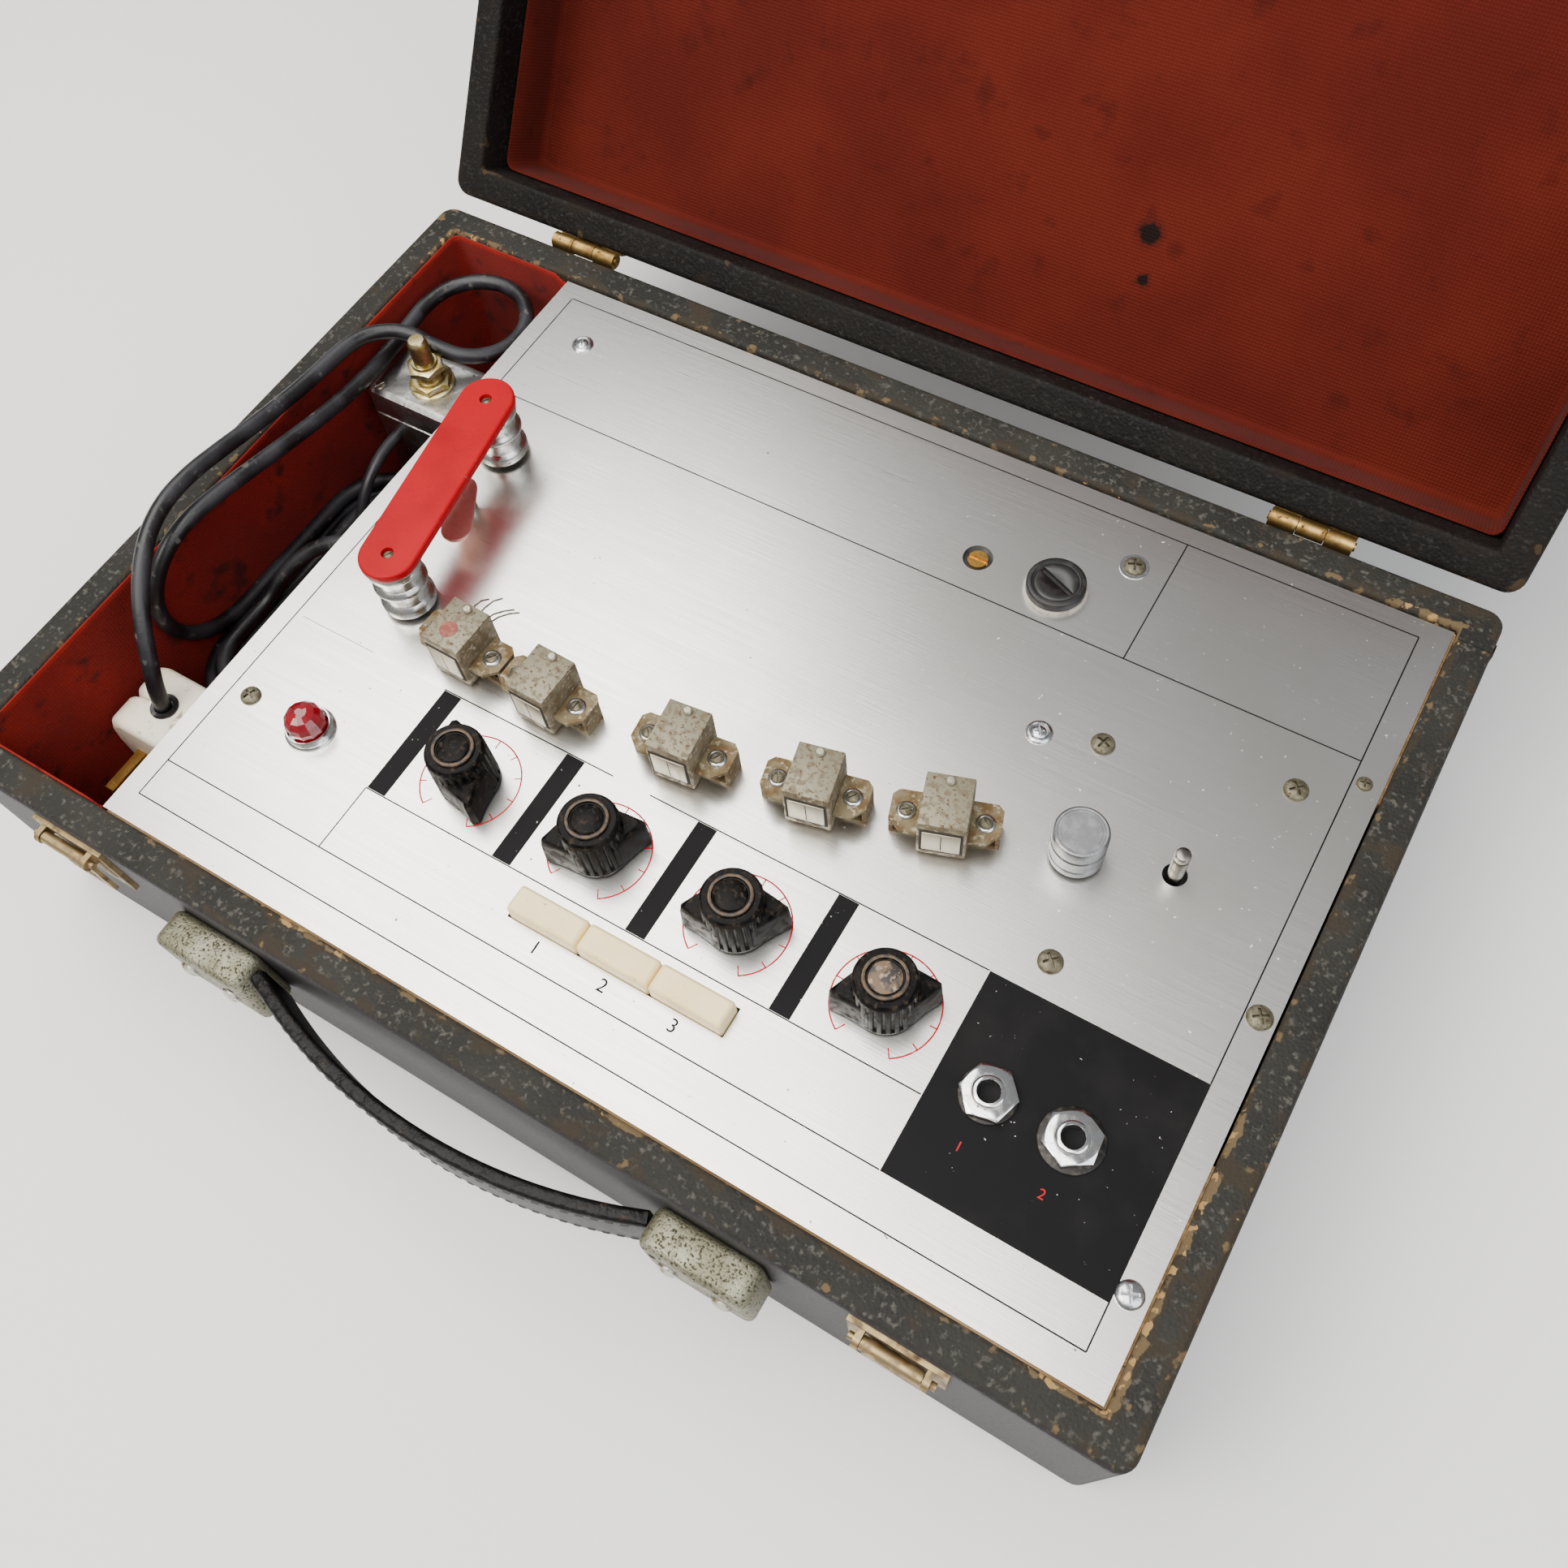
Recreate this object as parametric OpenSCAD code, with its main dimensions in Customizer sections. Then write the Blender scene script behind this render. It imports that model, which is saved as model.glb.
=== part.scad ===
// Portable tape echo unit in a lidded wooden case, covered in leathercloth.
// Origin: centre of the underside of the case. +X is the player's right, +Y the hinge side, +Z up.
// The lid stands open, as it does in use. Places on the control panel are measured from the
// front left corner of the line printed round it.

/* [Case] */
// Width of the case outside
case_w = 432; // [424:1:460]
// Depth of the case outside
case_d = 290; // [286:1:310]
// Height of the base from its underside to its rim
base_h = 92; // [90:1:110]
// Height of the lid
lid_h = 45; // [44:1:60]
// Thickness of the boards of the walls
wall_t = 12; // [11:0.5:13]
// Thickness of the floor board and of the board on top of the lid
board_t = 6; // [5:0.5:7]
// Radius of the upright corners
corner_r = 6; // [3:0.5:8]
// Thickness of the cloth lining
lining_t = 0.8; // [0.6:0.1:1]
// Bare depth of the lid's walls, from the rim to the lining
lid_bare = 15; // [8:1:20]
// Gap between the rims of the closed lid and the base
rim_gap = 0.4; // [0.3:0.1:1]
// How far the lid stands open
lid_open = 125; // [100:1:130]
// Diameter of a rubber foot
foot_d = 24; // [18:1:30]
// Height of a rubber foot
foot_h = 8; // [6:1:12]
// Distance from the walls' outside to the middle of a foot
foot_inset = 36; // [25:1:50]

/* [Lid hinges] */
// Length of a hinge
hinge_l = 29; // [24:1:40]
// Distance from the case's end to the middle of each hinge
hinge_in = 67; // [60:1:85]
// Diameter of a hinge knuckle
knuckle_d = 6; // [5:0.2:7]
// Diameter of a hinge pin
hinge_pin_d = 3; // [2:0.1:3.5]
// Thickness of the hinge leaves
leaf_t = 1.2; // [1:0.1:1.6]
// Length of a hinge leaf down the wall
leaf_l = 17; // [12:1:22]

/* [Catches] */
// Distance from the case's end to the middle of each catch
catch_in = 64; // [56:1:70]
// Width of a catch plate
catch_w = 30; // [26:1:36]
// Height of a catch plate
catch_h = 26; // [22:1:30]
// Thickness of the catch plates
catch_t = 1.5; // [1.2:0.1:2]
// Length of the lever that hooks over the lid's strike
lever_l = 22; // [20:1:26]
// Diameter of the pin that a lever turns on
lever_pin_d = 2.4; // [2:0.1:3]

/* [Handle] */
// Distance from the middle of the case to the inner end of a handle cap
handle_x = 75; // [60:1:85]
// Length of a handle cap
cap_l = 36; // [30:1:44]
// Height of a handle cap
cap_h = 32; // [28:1:36]
// How far a handle cap stands off the wall
cap_t = 13; // [11:0.5:15]
// Depth of the handle below the rim
handle_drop = 15; // [12:1:20]
// Width of the leather strap
strap_w = 26; // [20:1:28]
// Thickness of the leather strap
strap_t = 5; // [3:0.5:6]
// How far the strap bows out at its middle
strap_bow = 15; // [12:1:20]

/* [Control panel] */
// Width of the control panel
panel_w = 350.4; // [349:0.2:352]
// Thickness of the control panel
panel_t = 1.6; // [1.2:0.1:2]
// Depth of the panel's face below the rim
panel_drop = 2; // [1:0.5:4]
// Gap between the panel and the walls
panel_gap = 0.8; // [0.5:0.1:1.2]
// Distance from the panel's left edge to the printed line
print_x = 7.2; // [5:0.1:9]
// Distance from the panel's front edge to the printed line
print_y = 9.4; // [7:0.1:11]
// Thickness of the board that divides off the lead compartment
partition_t = 9; // [6:0.5:10]
// Side of the square battens that carry the panel
batten = 12; // [10:0.5:14]

/* [Knobs] */
// Place of the first knob, across
knob_x = 93.4; // [90:0.1:98]
// Distance from knob to knob
knob_pitch = 50.4; // [48:0.1:51]
// Place of the knobs, from the front
knob_y = 56.5; // [54:0.1:59]
// Diameter of a knob
knob_d = 20.5; // [18:0.5:22]
// Height of a knob's top above the panel
knob_h = 22; // [20:0.5:25]
// Span over a knob's two wings
wing_span = 33; // [28:0.5:36]
// Height of the wings
wing_h = 13.5; // [10:0.5:16]
// Diameter of a control's shaft
shaft_d = 6; // [5:0.1:6.4]
// Diameter of a control's body under the panel
pot_d = 24; // [20:1:28]

/* [Keys] */
// Width of a key
key_w = 25.2; // [22:0.2:26]
// Depth of a key
key_d = 9.4; // [8:0.2:11]
// Height of a key above the panel
key_h = 6.5; // [5:0.5:9]
// Travel of a key
key_travel = 3.5; // [2:0.5:4]
// Place of the middle key, across
key_x = 170.2; // [168:0.1:172]
// Place of the keys, from the front
key_y = 29.3; // [27:0.1:31]

/* [Sockets and lamp] */
// Place of the first jack socket, across
jack_x = 282.3; // [280:0.1:285]
// Distance between the jack sockets
jack_pitch = 25.4; // [22:0.1:28]
// Place of the jack sockets, from the front
jack_y = 47; // [44:0.5:50]
// Bore of a jack socket
jack_bore = 6.5; // [6.35:0.05:6.8]
// Diameter of the threaded bush of a jack socket
jack_bush_d = 9.4; // [9:0.1:10]
// Diameter of the lamp's jewel
jewel_d = 13.5; // [12:0.5:15]
// Diameter of the lamp's bezel
bezel_d = 17; // [16:0.5:20]
// Diameter of the fuse holder's cap
fuse_d = 20; // [17:0.5:22]
// Diameter of the voltage selector's slotted dial
dial_d = 7; // [6:0.5:8]

/* [Tape deck] */
// Width of a tape head
head_w = 15; // [12:0.5:17]
// Depth of a tape head, front to back
head_d = 18; // [15:0.5:20]
// Height of a tape head above the panel
head_h = 20.5; // [18:0.5:23]
// Height of a head bracket's ears above the panel
ear_z = 10; // [8:0.5:12]
// Distance between the screws of a head bracket
ear_pitch = 24; // [22:0.5:27]
// Height of the roller bridge's top above the panel
bridge_z = 27; // [25:0.5:31]
// Thickness of the roller bridge
bridge_t = 3.5; // [2.5:0.5:4]
// Width of the roller bridge
bridge_w = 20.3; // [19:0.5:23]
// Diameter of the guide rollers
roller_d = 19; // [17:0.5:20]
// Diameter of the posts that the rollers turn on
post_d = 5; // [4:0.5:6]
// Diameter of the idler roller
idler_d = 17; // [15:0.5:20]
// Height of the idler roller above the panel
idler_h = 17; // [15:0.5:20]
// Diameter of the capstan
capstan_d = 4.8; // [4:0.1:5.2]
// Height of the capstan above the panel
capstan_h = 15; // [12:0.5:18]
// Diameter of the motor
motor_d = 70; // [60:1:74]
// Height of the motor
motor_h = 44; // [38:1:46]

/* [Lead compartment] */
// Diameter of the mains lead
mains_d = 6; // [5.8:0.1:6.2]
// Diameter of the footswitch's lead
switch_lead_d = 4.5; // [4:0.1:4.6]
// Width of the plug at its pins
plug_w = 50; // [46:1:51]
// Thickness of the plug
plug_t = 28; // [24:1:28]
// Length of the plug
plug_l = 57; // [50:1:58]
// Width of the footswitch's box
switch_w = 47; // [40:1:48]
// Thickness of the footswitch's box
switch_t = 30; // [26:1:31]
// Height of the footswitch's box as it stands in the compartment
switch_h = 71; // [64:1:72]
// Travel of the footswitch's button
button_travel = 3; // [2:0.5:4]

/* [Hidden] */
$fn = 48;

// Clearances: turning fit, seated piece, free piece
turn_gap = 0.05;
seat_gap = 0.1;
free_gap = 0.3;
skin = 0.01; // overlap that makes a cut run clean through a face

// Case
in_w = case_w - 2 * wall_t;
in_d = case_d - 2 * wall_t;
panel_z = base_h - panel_drop;
under_z = panel_z - panel_t;
panel_d = in_d - 2 * panel_gap;
panel_x0 = in_w / 2 - panel_gap - panel_w;
panel_y0 = -panel_d / 2;
partition_x = panel_x0 + 1.2;
bay_x0 = -in_w / 2 + lining_t;
bay_x1 = partition_x - lining_t;
bay_z0 = board_t + lining_t;
hinge_x = case_w / 2 - hinge_in;
catch_x = case_w / 2 - catch_in;
panel_back = panel_d - print_y; // the panel's back edge in the panel's own measure

// Lid, drawn shut and then turned about the hinge line
hinge_y = case_d / 2 + knuckle_d / 2;
hinge_z = base_h;
lid_z0 = base_h + rim_gap;
lid_z1 = lid_z0 + lid_h;
knuckle_gap = 0.3;
knuckle_l = (hinge_l - 2 * knuckle_gap) / 3;

// Catches
catch_top = base_h - 4;
lever_y = -case_d / 2 - catch_t - 2.6;
lever_z = catch_top - 4;
lever_w = catch_w - 12;
lever_t = 1.4;
ear_t = 2;
strike_z = lever_z + lever_l - 3.4;

// Handle
handle_z = base_h - handle_drop - cap_h / 2;
strap_gap = 2.5;
strap_r = (handle_x * handle_x + strap_bow * strap_bow) / (2 * strap_bow);
strap_a = asin(handle_x / strap_r);

// Panel fittings, in the panel's own measure
knob_turn = [134, 40, 28, 33];
knob_places = [for (i = [0:3]) [knob_x + i * knob_pitch, knob_y]];
knob_foot = 1;
bush_d = 9.5;
control_nut = 12;
key_pitch = key_w + 0.4;
key_places = [for (i = [-1:1]) [key_x + i * key_pitch, key_y]];
key_stem_w = 8;
key_foot = 1.2; // a key reaches this far into the panel
key_frame_h = 22;
lamp_place = [35, 46];
fuse_place = [224.1, panel_back - 44.4];
dial_place = [195.5, panel_back - 44.7];
dial_hole_d = 10.3;
jack_places = [for (i = [0, 1]) [jack_x + i * jack_pitch, jack_y]];
jack_nut = 15;
jack_washer = [17, 19];

// Tape deck: middle of each head and its turn
bracket_t = 1.4;
heads = [[65.9, 93.8, -2], [101, 92, -2], [150.7, 96, 6], [194.5, 103.1, 12.5], [233.8, 113.4, 18]];
bridge_front = [32.7, 103.3];
bridge_back = [21.7, 172.7];
bridge_run = bridge_back - bridge_front;
bridge_l = norm(bridge_run);
bridge_turn = atan2(bridge_run[1], bridge_run[0]);
bridge_under = bridge_z - bridge_t;
idler_place = [271.8, 125.2];
capstan_place = [300.1, 133.7];
capstan_hole_d = 7.5;
motor_turn = 12.9;
motor_holes = [[-29.7, -37.5], [29.7, -37.5], [-29.7, 37.5], [29.7, 37.5]];
motor_drop = 8;
motor_wall = 3;
pot_h = 12;
jack_body = [15, 13, 20];
core = [56, 32, 48];
winding = [34, 52, 30];
core_place = [-60, 70];
board_size = [190, 90, 1.6];
board_place = [10, -55];
board_rise = 9;
leaf_place = [25.5, 146];
leaf_turn = -59;
leaf_reach = 17.5;

// Screws on the panel: place, head diameter
panel_screw_places = [
    [17.6, panel_back - 25.4, 8.3], [243.3, panel_back - 23.8, 7.5], [8.3, 46.3, 7],
    [243.6, 158.5, 8.7], [337.6, 189.1, 5], [337.8, 18.2, 8]
];
screw_d = 3;
motor_screw_head = 7.8;
deck_screw_head = 5.4;

// Compartment
plug_x = -176.5;
plug_y = -in_d / 2 + 45;
plug_top = plug_w - 8;
entry_x = -177;
entry_d = 14;
entry_deep = 6;
plug_z1 = bay_z0 + plug_l;
switch_x = bay_x1 - 2.6 - switch_w / 2;
switch_y = in_d / 2 - 61;
switch_z1 = bay_z0 + switch_h;
switch_exit = [-187.5, 56];
bush_h = 12;
button_d = 8;
button_h = 8 + button_travel; // pressed, it still stands 8 mm proud of its bush
grommet_d = 13;
mains_exit = [5, 60];
lead_exit = [48, 21.6];

// Mains hank: two turns down on the inside and two up on the outside, over the other hank
mains_pitch = mains_d + 0.8;
mains_run = 35;
mains_r = 18.1;
mains_c = [-175, -10, 27.6];

// Footswitch hank: out on the lower layer and in on the upper, flat on the compartment's floor
lead_pitch = switch_lead_d + 0.8;
lead_run = 36;
lead_r = 15;
lead_turns = 86 / 24;
lead_c = [-175, -10, bay_z0 + free_gap + switch_lead_d / 2];

// A hank has 24 rings to a turn: left run, front fold, right run, back fold
rings = 24;
function ease(s) = s <= 0 ? 0 : s >= 1 ? 1 : s * s * (3 - 2 * s);
function on_hank(k, a, r, c, up) =
    k < 2 ? c + [-r, -a * k / 2, up]
    : k < 10 ? c + [-r * cos((k - 2) * 22.5), -a - r * sin((k - 2) * 22.5), up]
    : k < 14 ? c + [r, -a + a * (k - 10) / 2, up]
    : k < 22 ? c + [r * cos((k - 14) * 22.5), a + r * sin((k - 14) * 22.5), up]
    : c + [-r, a - a * (k - 22) / 2, up];
mains_points = [for (i = [0:4 * rings])
    on_hank((i + 1) % rings, mains_run,
            mains_r + mains_pitch * ease((i - 1.75 * rings) / (rings / 2)), mains_c,
            mains_pitch * abs(i / rings - 2))];
lead_points = [for (i = [0:lead_turns * rings])
    on_hank(i % rings, lead_run,
            lead_r + lead_pitch * min(i / rings, lead_turns - i / rings), lead_c,
            lead_pitch * ease((i - 40) / 4))];

// Free stretches of the leads, from the partition and to what they end in
mains_from_wall = concat(
    [[bay_x1, 5, 60], [-155, 5, 60], [-164.5, 4.2, 59.6], [-174, 1, 58], [-181.5, -4, 55],
     [-187.6, -11, 50.6], [-191.4, -19, 45.6]],
    [mains_points[0]]);
mains_to_plug = concat(
    [mains_points[len(mains_points) - 1]],
    [[-199.9, -37, 42], [-199.9, -46.5, 45], [-199.8, -54.5, 51.2], [-199.6, -59.8, 60],
     [-199.2, -61.2, 70], [-198.6, -58.6, 80], [-197.8, -52.2, 88.6], [-196.8, -43, 94.6],
     [-195.6, -32, 97.4], [-194.4, -20, 97.2], [-193.4, -6, 95.2], [-192.8, 10, 92.2],
     [-192.6, 26, 89], [-192.6, 42, 86.2], [-193.2, 58, 84.2], [-194.6, 74, 83],
     [-196.4, 89, 82.5], [-197.2, 102, 82.5], [-194.2, 113.3, 82.5], [-186.1, 121.4, 82.5],
     [-175, 124.4, 82.5], [-163.9, 121.4, 82.5], [-155.8, 113.3, 82.5], [-152.8, 102.2, 82.9],
     [-155.8, 91.1, 84.3], [-163.9, 83, 86.8], [-175, 80, 90], [-182.4, 79.3, 92],
     [-189.6, 76.4, 93.7], [-196.2, 69.6, 95], [-199.2, 60.4, 95.8], [-199.9, 48, 96.4],
     [-200, 35, 97.4], [-200, 21, 99.4], [-200, 7, 102], [-200, -7, 104.8], [-199.9, -20, 107],
     [-199, -33, 107.8], [-196.6, -45, 106.6], [-192.6, -56, 103.2], [-187.8, -66, 97.6],
     [-183.2, -74.4, 90.2], [-179.6, -81, 81.6], [-177.6, -85.8, 73],
     [-177, -88, 65.4], [entry_x, plug_y, plug_z1 - entry_deep]]);
lead_from_box = concat(
    [[switch_exit[0], switch_y - switch_t / 2, switch_exit[1]], [-187.4, 50, 56],
     [-187, 43, 55], [-186.8, 36, 52], [-186.5, 30, 47.6], [-186.3, 24, 41], [-186, 18.4, 33],
     [-186, 13, 25], [-186, 7, 18], [-186.8, 0, 12.6]],
    [lead_points[0]]);
lead_to_wall = concat(
    [lead_points[len(lead_points) - 1]],
    [[-160.7, 30, 16.4], [-161.1, 34, 18.8], [-161, 38.5, 20.9], [-159.6, 43.4, 21.6],
     [-156, 46.9, 21.6], [-151.1, 48, 21.6], [bay_x1, 48, 21.6]]);

function path_length(p, i = 0) = i >= len(p) - 1 ? 0 : norm(p[i + 1] - p[i]) + path_length(p, i + 1);
function least_gap(p, d) =
    min([for (i = [0:len(p) - 1], j = [i + 8:1:len(p) - 1]) norm(p[i] - p[j])]) - d;
echo(str("mains lead, mm: ", path_length(concat(mains_from_wall, mains_points, mains_to_plug))));
echo(str("footswitch lead, mm: ", path_length(concat(lead_from_box, lead_points, lead_to_wall))));
echo(str("least gap of the mains lead to itself, mm: ",
    least_gap(concat(mains_from_wall, mains_points, mains_to_plug), mains_d)));
echo(str("least gap of the footswitch lead to itself, mm: ",
    least_gap(concat(lead_from_box, lead_points, lead_to_wall), switch_lead_d)));

// A tube swept along points; its end faces stand square to the first and last stretch
module tube(p, d, sides, side_dir) {
    last = len(p) - 1;
    rings = [for (i = [0:last])
        let (t0 = p[min(i + 1, last)] - p[max(i - 1, 0)],
             t = t0 / norm(t0),
             s0 = cross(t, side_dir),
             s = s0 / norm(s0),
             w = cross(s, t))
        for (k = [0:sides - 1])
            p[i] + d / 2 * (cos(360 * k / sides) * s + sin(360 * k / sides) * w)];
    sides_faces = [for (i = [0:last - 1], k = [0:sides - 1])
        let (a = i * sides + k, b = i * sides + (k + 1) % sides)
        each [[a, b, b + sides], [a, b + sides, a + sides]]];
    ends = [[for (k = [0:sides - 1]) sides - 1 - k],
            [for (k = [0:sides - 1]) last * sides + k]];
    polyhedron(points = rings, faces = concat(sides_faces, ends));
}

// Shapes used by several pieces
module round_rect(w, d, r) {
    square([w - 2 * r, d], center = true);
    square([w, d - 2 * r], center = true);
    for (x = [-1, 1], y = [-1, 1]) translate([x * (w / 2 - r), y * (d / 2 - r)]) circle(r);
}
module block(x, y, z) {
    translate([x[0], y[0], z[0]]) cube([x[1] - x[0], y[1] - y[0], z[1] - z[0]]);
}
module on_panel(place, z = 0) {
    translate([panel_x0 + print_x + place[0], panel_y0 + print_y + place[1], panel_z + z])
        children();
}
module hex(across, h) cylinder(d = across / cos(30), h = h, $fn = 6);
// Domed screw with a slot, head seated at z = 0
module screw(head, shank, length, slot = 1) {
    difference() {
        union() {
            intersection() {
                cylinder(d = head, h = head * 0.3);
                translate([0, 0, -head * 0.55]) sphere(r = head * 0.82);
            }
            translate([0, 0, -length]) cylinder(d = shank, h = length + skin);
        }
        if (slot > 0)
            translate([-head, -0.5, head * 0.16]) cube([2 * head, 1, head]);
    }
}
module from_front(x, z, y = -case_d / 2) translate([x, y, z]) rotate([90, 0, 0]) children();
module lid_pose() {
    translate([0, hinge_y, hinge_z]) rotate([-lid_open, 0, 0]) translate([0, -hinge_y, -hinge_z])
        children();
}

// Case
module board_pair_x(z0, z1) {
    translate([0, 0, z0]) linear_extrude(z1 - z0)
        difference() {
            round_rect(case_w, case_d, corner_r);
            square([in_w, case_d + 2], center = true);
        }
}
module board_pair_y(z0, z1) {
    for (s = [-1, 1])
        block([-in_w / 2, in_w / 2], s < 0 ? [-case_d / 2, -in_d / 2] : [in_d / 2, case_d / 2],
              [z0, z1]);
}
module case_side_boards() {
    color([0.28, 0.27, 0.24]) board_pair_x(0, base_h);
}
module case_front_back_boards() {
    color([0.28, 0.27, 0.24])
        difference() {
            board_pair_y(0, base_h);
            handle_screw_holes();
        }
}
module case_floor() {
    color([0.5, 0.4, 0.28])
        difference() {
            block([-in_w / 2, in_w / 2], [-in_d / 2, in_d / 2], [0, board_t]);
            feet_places() translate([0, 0, -skin]) cylinder(d = 4 + 2 * turn_gap, h = board_t + 1);
        }
}
module partition() {
    color([0.45, 0.3, 0.2])
        difference() {
            block([partition_x, partition_x + partition_t], [-in_d / 2, in_d / 2],
                  [board_t, under_z]);
            for (e = [mains_exit, lead_exit])
                translate([partition_x - 1, e[0], e[1]]) rotate([0, 90, 0])
                    cylinder(d = grommet_d - 4, h = partition_t + 2);
        }
}
module panel_battens() {
    color([0.62, 0.48, 0.32]) {
        x0 = partition_x + partition_t;
        z = [under_z - batten, under_z];
        for (s = [-1, 1])
            block([x0, in_w / 2], s < 0 ? [-in_d / 2, -in_d / 2 + batten]
                                        : [in_d / 2 - batten, in_d / 2], z);
        y0 = -in_d / 2 + batten + free_gap;
        block([x0, x0 + batten + 2], [y0, in_d / 2 - batten - free_gap], z);
        right = [in_w / 2 - batten, in_w / 2];
        block(right, [y0, y0 + 58], z);
        block(right, [in_d / 2 - batten - free_gap - 58, in_d / 2 - batten - free_gap], z);
    }
}
module compartment_lining() {
    color([0.36, 0.12, 0.09])
        difference() {
            block([-in_w / 2, partition_x], [-in_d / 2, in_d / 2], [board_t, base_h - 1]);
            block([bay_x0, bay_x1], [-in_d / 2 + lining_t, in_d / 2 - lining_t],
                  [bay_z0, base_h + 1]);
            block([bay_x1 - skin, partition_x + 1], [-in_d, in_d], [under_z, base_h + 1]);
            for (e = [mains_exit, lead_exit])
                translate([partition_x - 3, e[0], e[1]]) rotate([0, 90, 0])
                    cylinder(d = grommet_d + 2 * seat_gap, h = 6);
        }
}
module feet_places() {
    for (x = [-1, 1], y = [-1, 1])
        translate([x * (case_w / 2 - foot_inset), y * (case_d / 2 - foot_inset), 0]) children();
}
module feet() {
    color([0.08, 0.08, 0.08])
        feet_places() difference() {
            translate([0, 0, -foot_h]) cylinder(d1 = foot_d - 3, d2 = foot_d, h = foot_h);
            translate([0, 0, -foot_h - 1]) cylinder(d = 9, h = foot_h / 2 + 1);
            translate([0, 0, -foot_h]) cylinder(d = 4 + 2 * turn_gap, h = foot_h + 1);
        }
}
module handle_screws_at() {
    for (x = [-1, 1], s = [-1, 1])
        from_front(x * (handle_x + cap_l / 2 + s * cap_l / 4), handle_z, -case_d / 2 - cap_t)
            children();
}
module handle_screw_holes() {
    handle_screws_at() translate([0, 0, -cap_t - 8]) cylinder(d = 4 + 2 * turn_gap, h = cap_t + 9);
}
module case_screws() {
    color([0.6, 0.6, 0.58]) {
        feet_places() translate([0, 0, -foot_h / 2]) mirror([0, 0, 1])
            screw(8, 4, foot_h / 2 + board_t);
        handle_screws_at() screw(7, 4, cap_t + 7);
    }
}

// Lid
module lid_side_boards() {
    color([0.2, 0.2, 0.18]) lid_pose() board_pair_x(lid_z0, lid_z1 - board_t);
}
module lid_front_back_boards() {
    color([0.2, 0.2, 0.18]) lid_pose() board_pair_y(lid_z0, lid_z1 - board_t);
}
module lid_top() {
    color([0.22, 0.21, 0.19]) lid_pose() translate([0, 0, lid_z1 - board_t])
        linear_extrude(board_t) round_rect(case_w, case_d, corner_r);
}
module lid_lining() {
    color([0.4, 0.13, 0.1]) lid_pose() difference() {
        block([-in_w / 2, in_w / 2], [-in_d / 2, in_d / 2], [lid_z0 + lid_bare, lid_z1 - board_t]);
        block([-in_w / 2 + lining_t, in_w / 2 - lining_t],
              [-in_d / 2 + lining_t, in_d / 2 - lining_t],
              [lid_z0, lid_z1 - board_t - lining_t]);
    }
}

// Hinges: the case leaf has the two outer knuckles and holds the pin
module knuckle(x0, l) {
    translate([x0, hinge_y, hinge_z]) rotate([0, 90, 0]) cylinder(d = knuckle_d, h = l);
}
module pin_bore(gap) {
    translate([-hinge_l, hinge_y, hinge_z]) rotate([0, 90, 0])
        cylinder(d = hinge_pin_d + 2 * gap, h = 2 * hinge_l);
}
knuckle_room = knuckle_d / 2 + 0.4;
module case_leaf() {
    y = [case_d / 2, case_d / 2 + leaf_t];
    mid = [-knuckle_l / 2 - knuckle_gap, knuckle_l / 2 + knuckle_gap];
    difference() {
        union() {
            block([-hinge_l / 2, hinge_l / 2], y, [hinge_z - leaf_l, hinge_z]);
            for (s = [-1, 1]) knuckle(s < 0 ? -hinge_l / 2 : hinge_l / 2 - knuckle_l, knuckle_l);
        }
        block(mid, [y[0] - 1, y[1] + 5], [hinge_z - knuckle_room, hinge_z + knuckle_room]);
        pin_bore(0);
    }
}
module lid_leaf() {
    y = [case_d / 2, case_d / 2 + leaf_t];
    side = knuckle_l / 2 + skin;
    difference() {
        union() {
            block([-hinge_l / 2, hinge_l / 2], y, [hinge_z + knuckle_room, hinge_z + leaf_l]);
            block([-knuckle_l / 2, knuckle_l / 2], y, [hinge_z, hinge_z + leaf_l]);
            knuckle(-knuckle_l / 2, knuckle_l);
        }
        pin_bore(turn_gap);
    }
}
module hinge_case_leaves() {
    color([0.72, 0.6, 0.3])
        for (s = [-1, 1]) translate([s * hinge_x, 0, 0]) {
            case_leaf();
            translate([-hinge_l / 2 - 0.6, hinge_y, hinge_z]) rotate([0, 90, 0])
                cylinder(d = hinge_pin_d, h = hinge_l + 1.2);
        }
}
module hinge_lid_leaves() {
    color([0.72, 0.6, 0.3])
        for (s = [-1, 1]) translate([s * hinge_x, 0, 0]) lid_pose() lid_leaf();
}

// Catches
module catch_plate() {
    y1 = -case_d / 2;
    difference() {
        union() {
            block([-catch_w / 2, catch_w / 2], [y1 - catch_t, y1], [catch_top - catch_h, catch_top]);
            for (s = [-1, 1])
                translate([s * (lever_w / 2 + free_gap + ear_t / 2) - ear_t / 2, 0, 0]) {
                    block([0, ear_t], [lever_y, y1], [lever_z - 2.6, lever_z + 2.6]);
                    translate([0, lever_y, lever_z]) rotate([0, 90, 0])
                        cylinder(d = 5.2, h = ear_t);
                }
        }
        translate([-catch_w, lever_y, lever_z]) rotate([0, 90, 0])
            cylinder(d = lever_pin_d, h = 2 * catch_w);
    }
    translate([-catch_w / 2 + 2, lever_y, lever_z]) rotate([0, 90, 0])
        cylinder(d = lever_pin_d, h = catch_w - 4);
}
module catch_plates() {
    color([0.7, 0.58, 0.36])
        for (s = [-1, 1]) translate([s * catch_x, 0, 0]) catch_plate();
}
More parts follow.
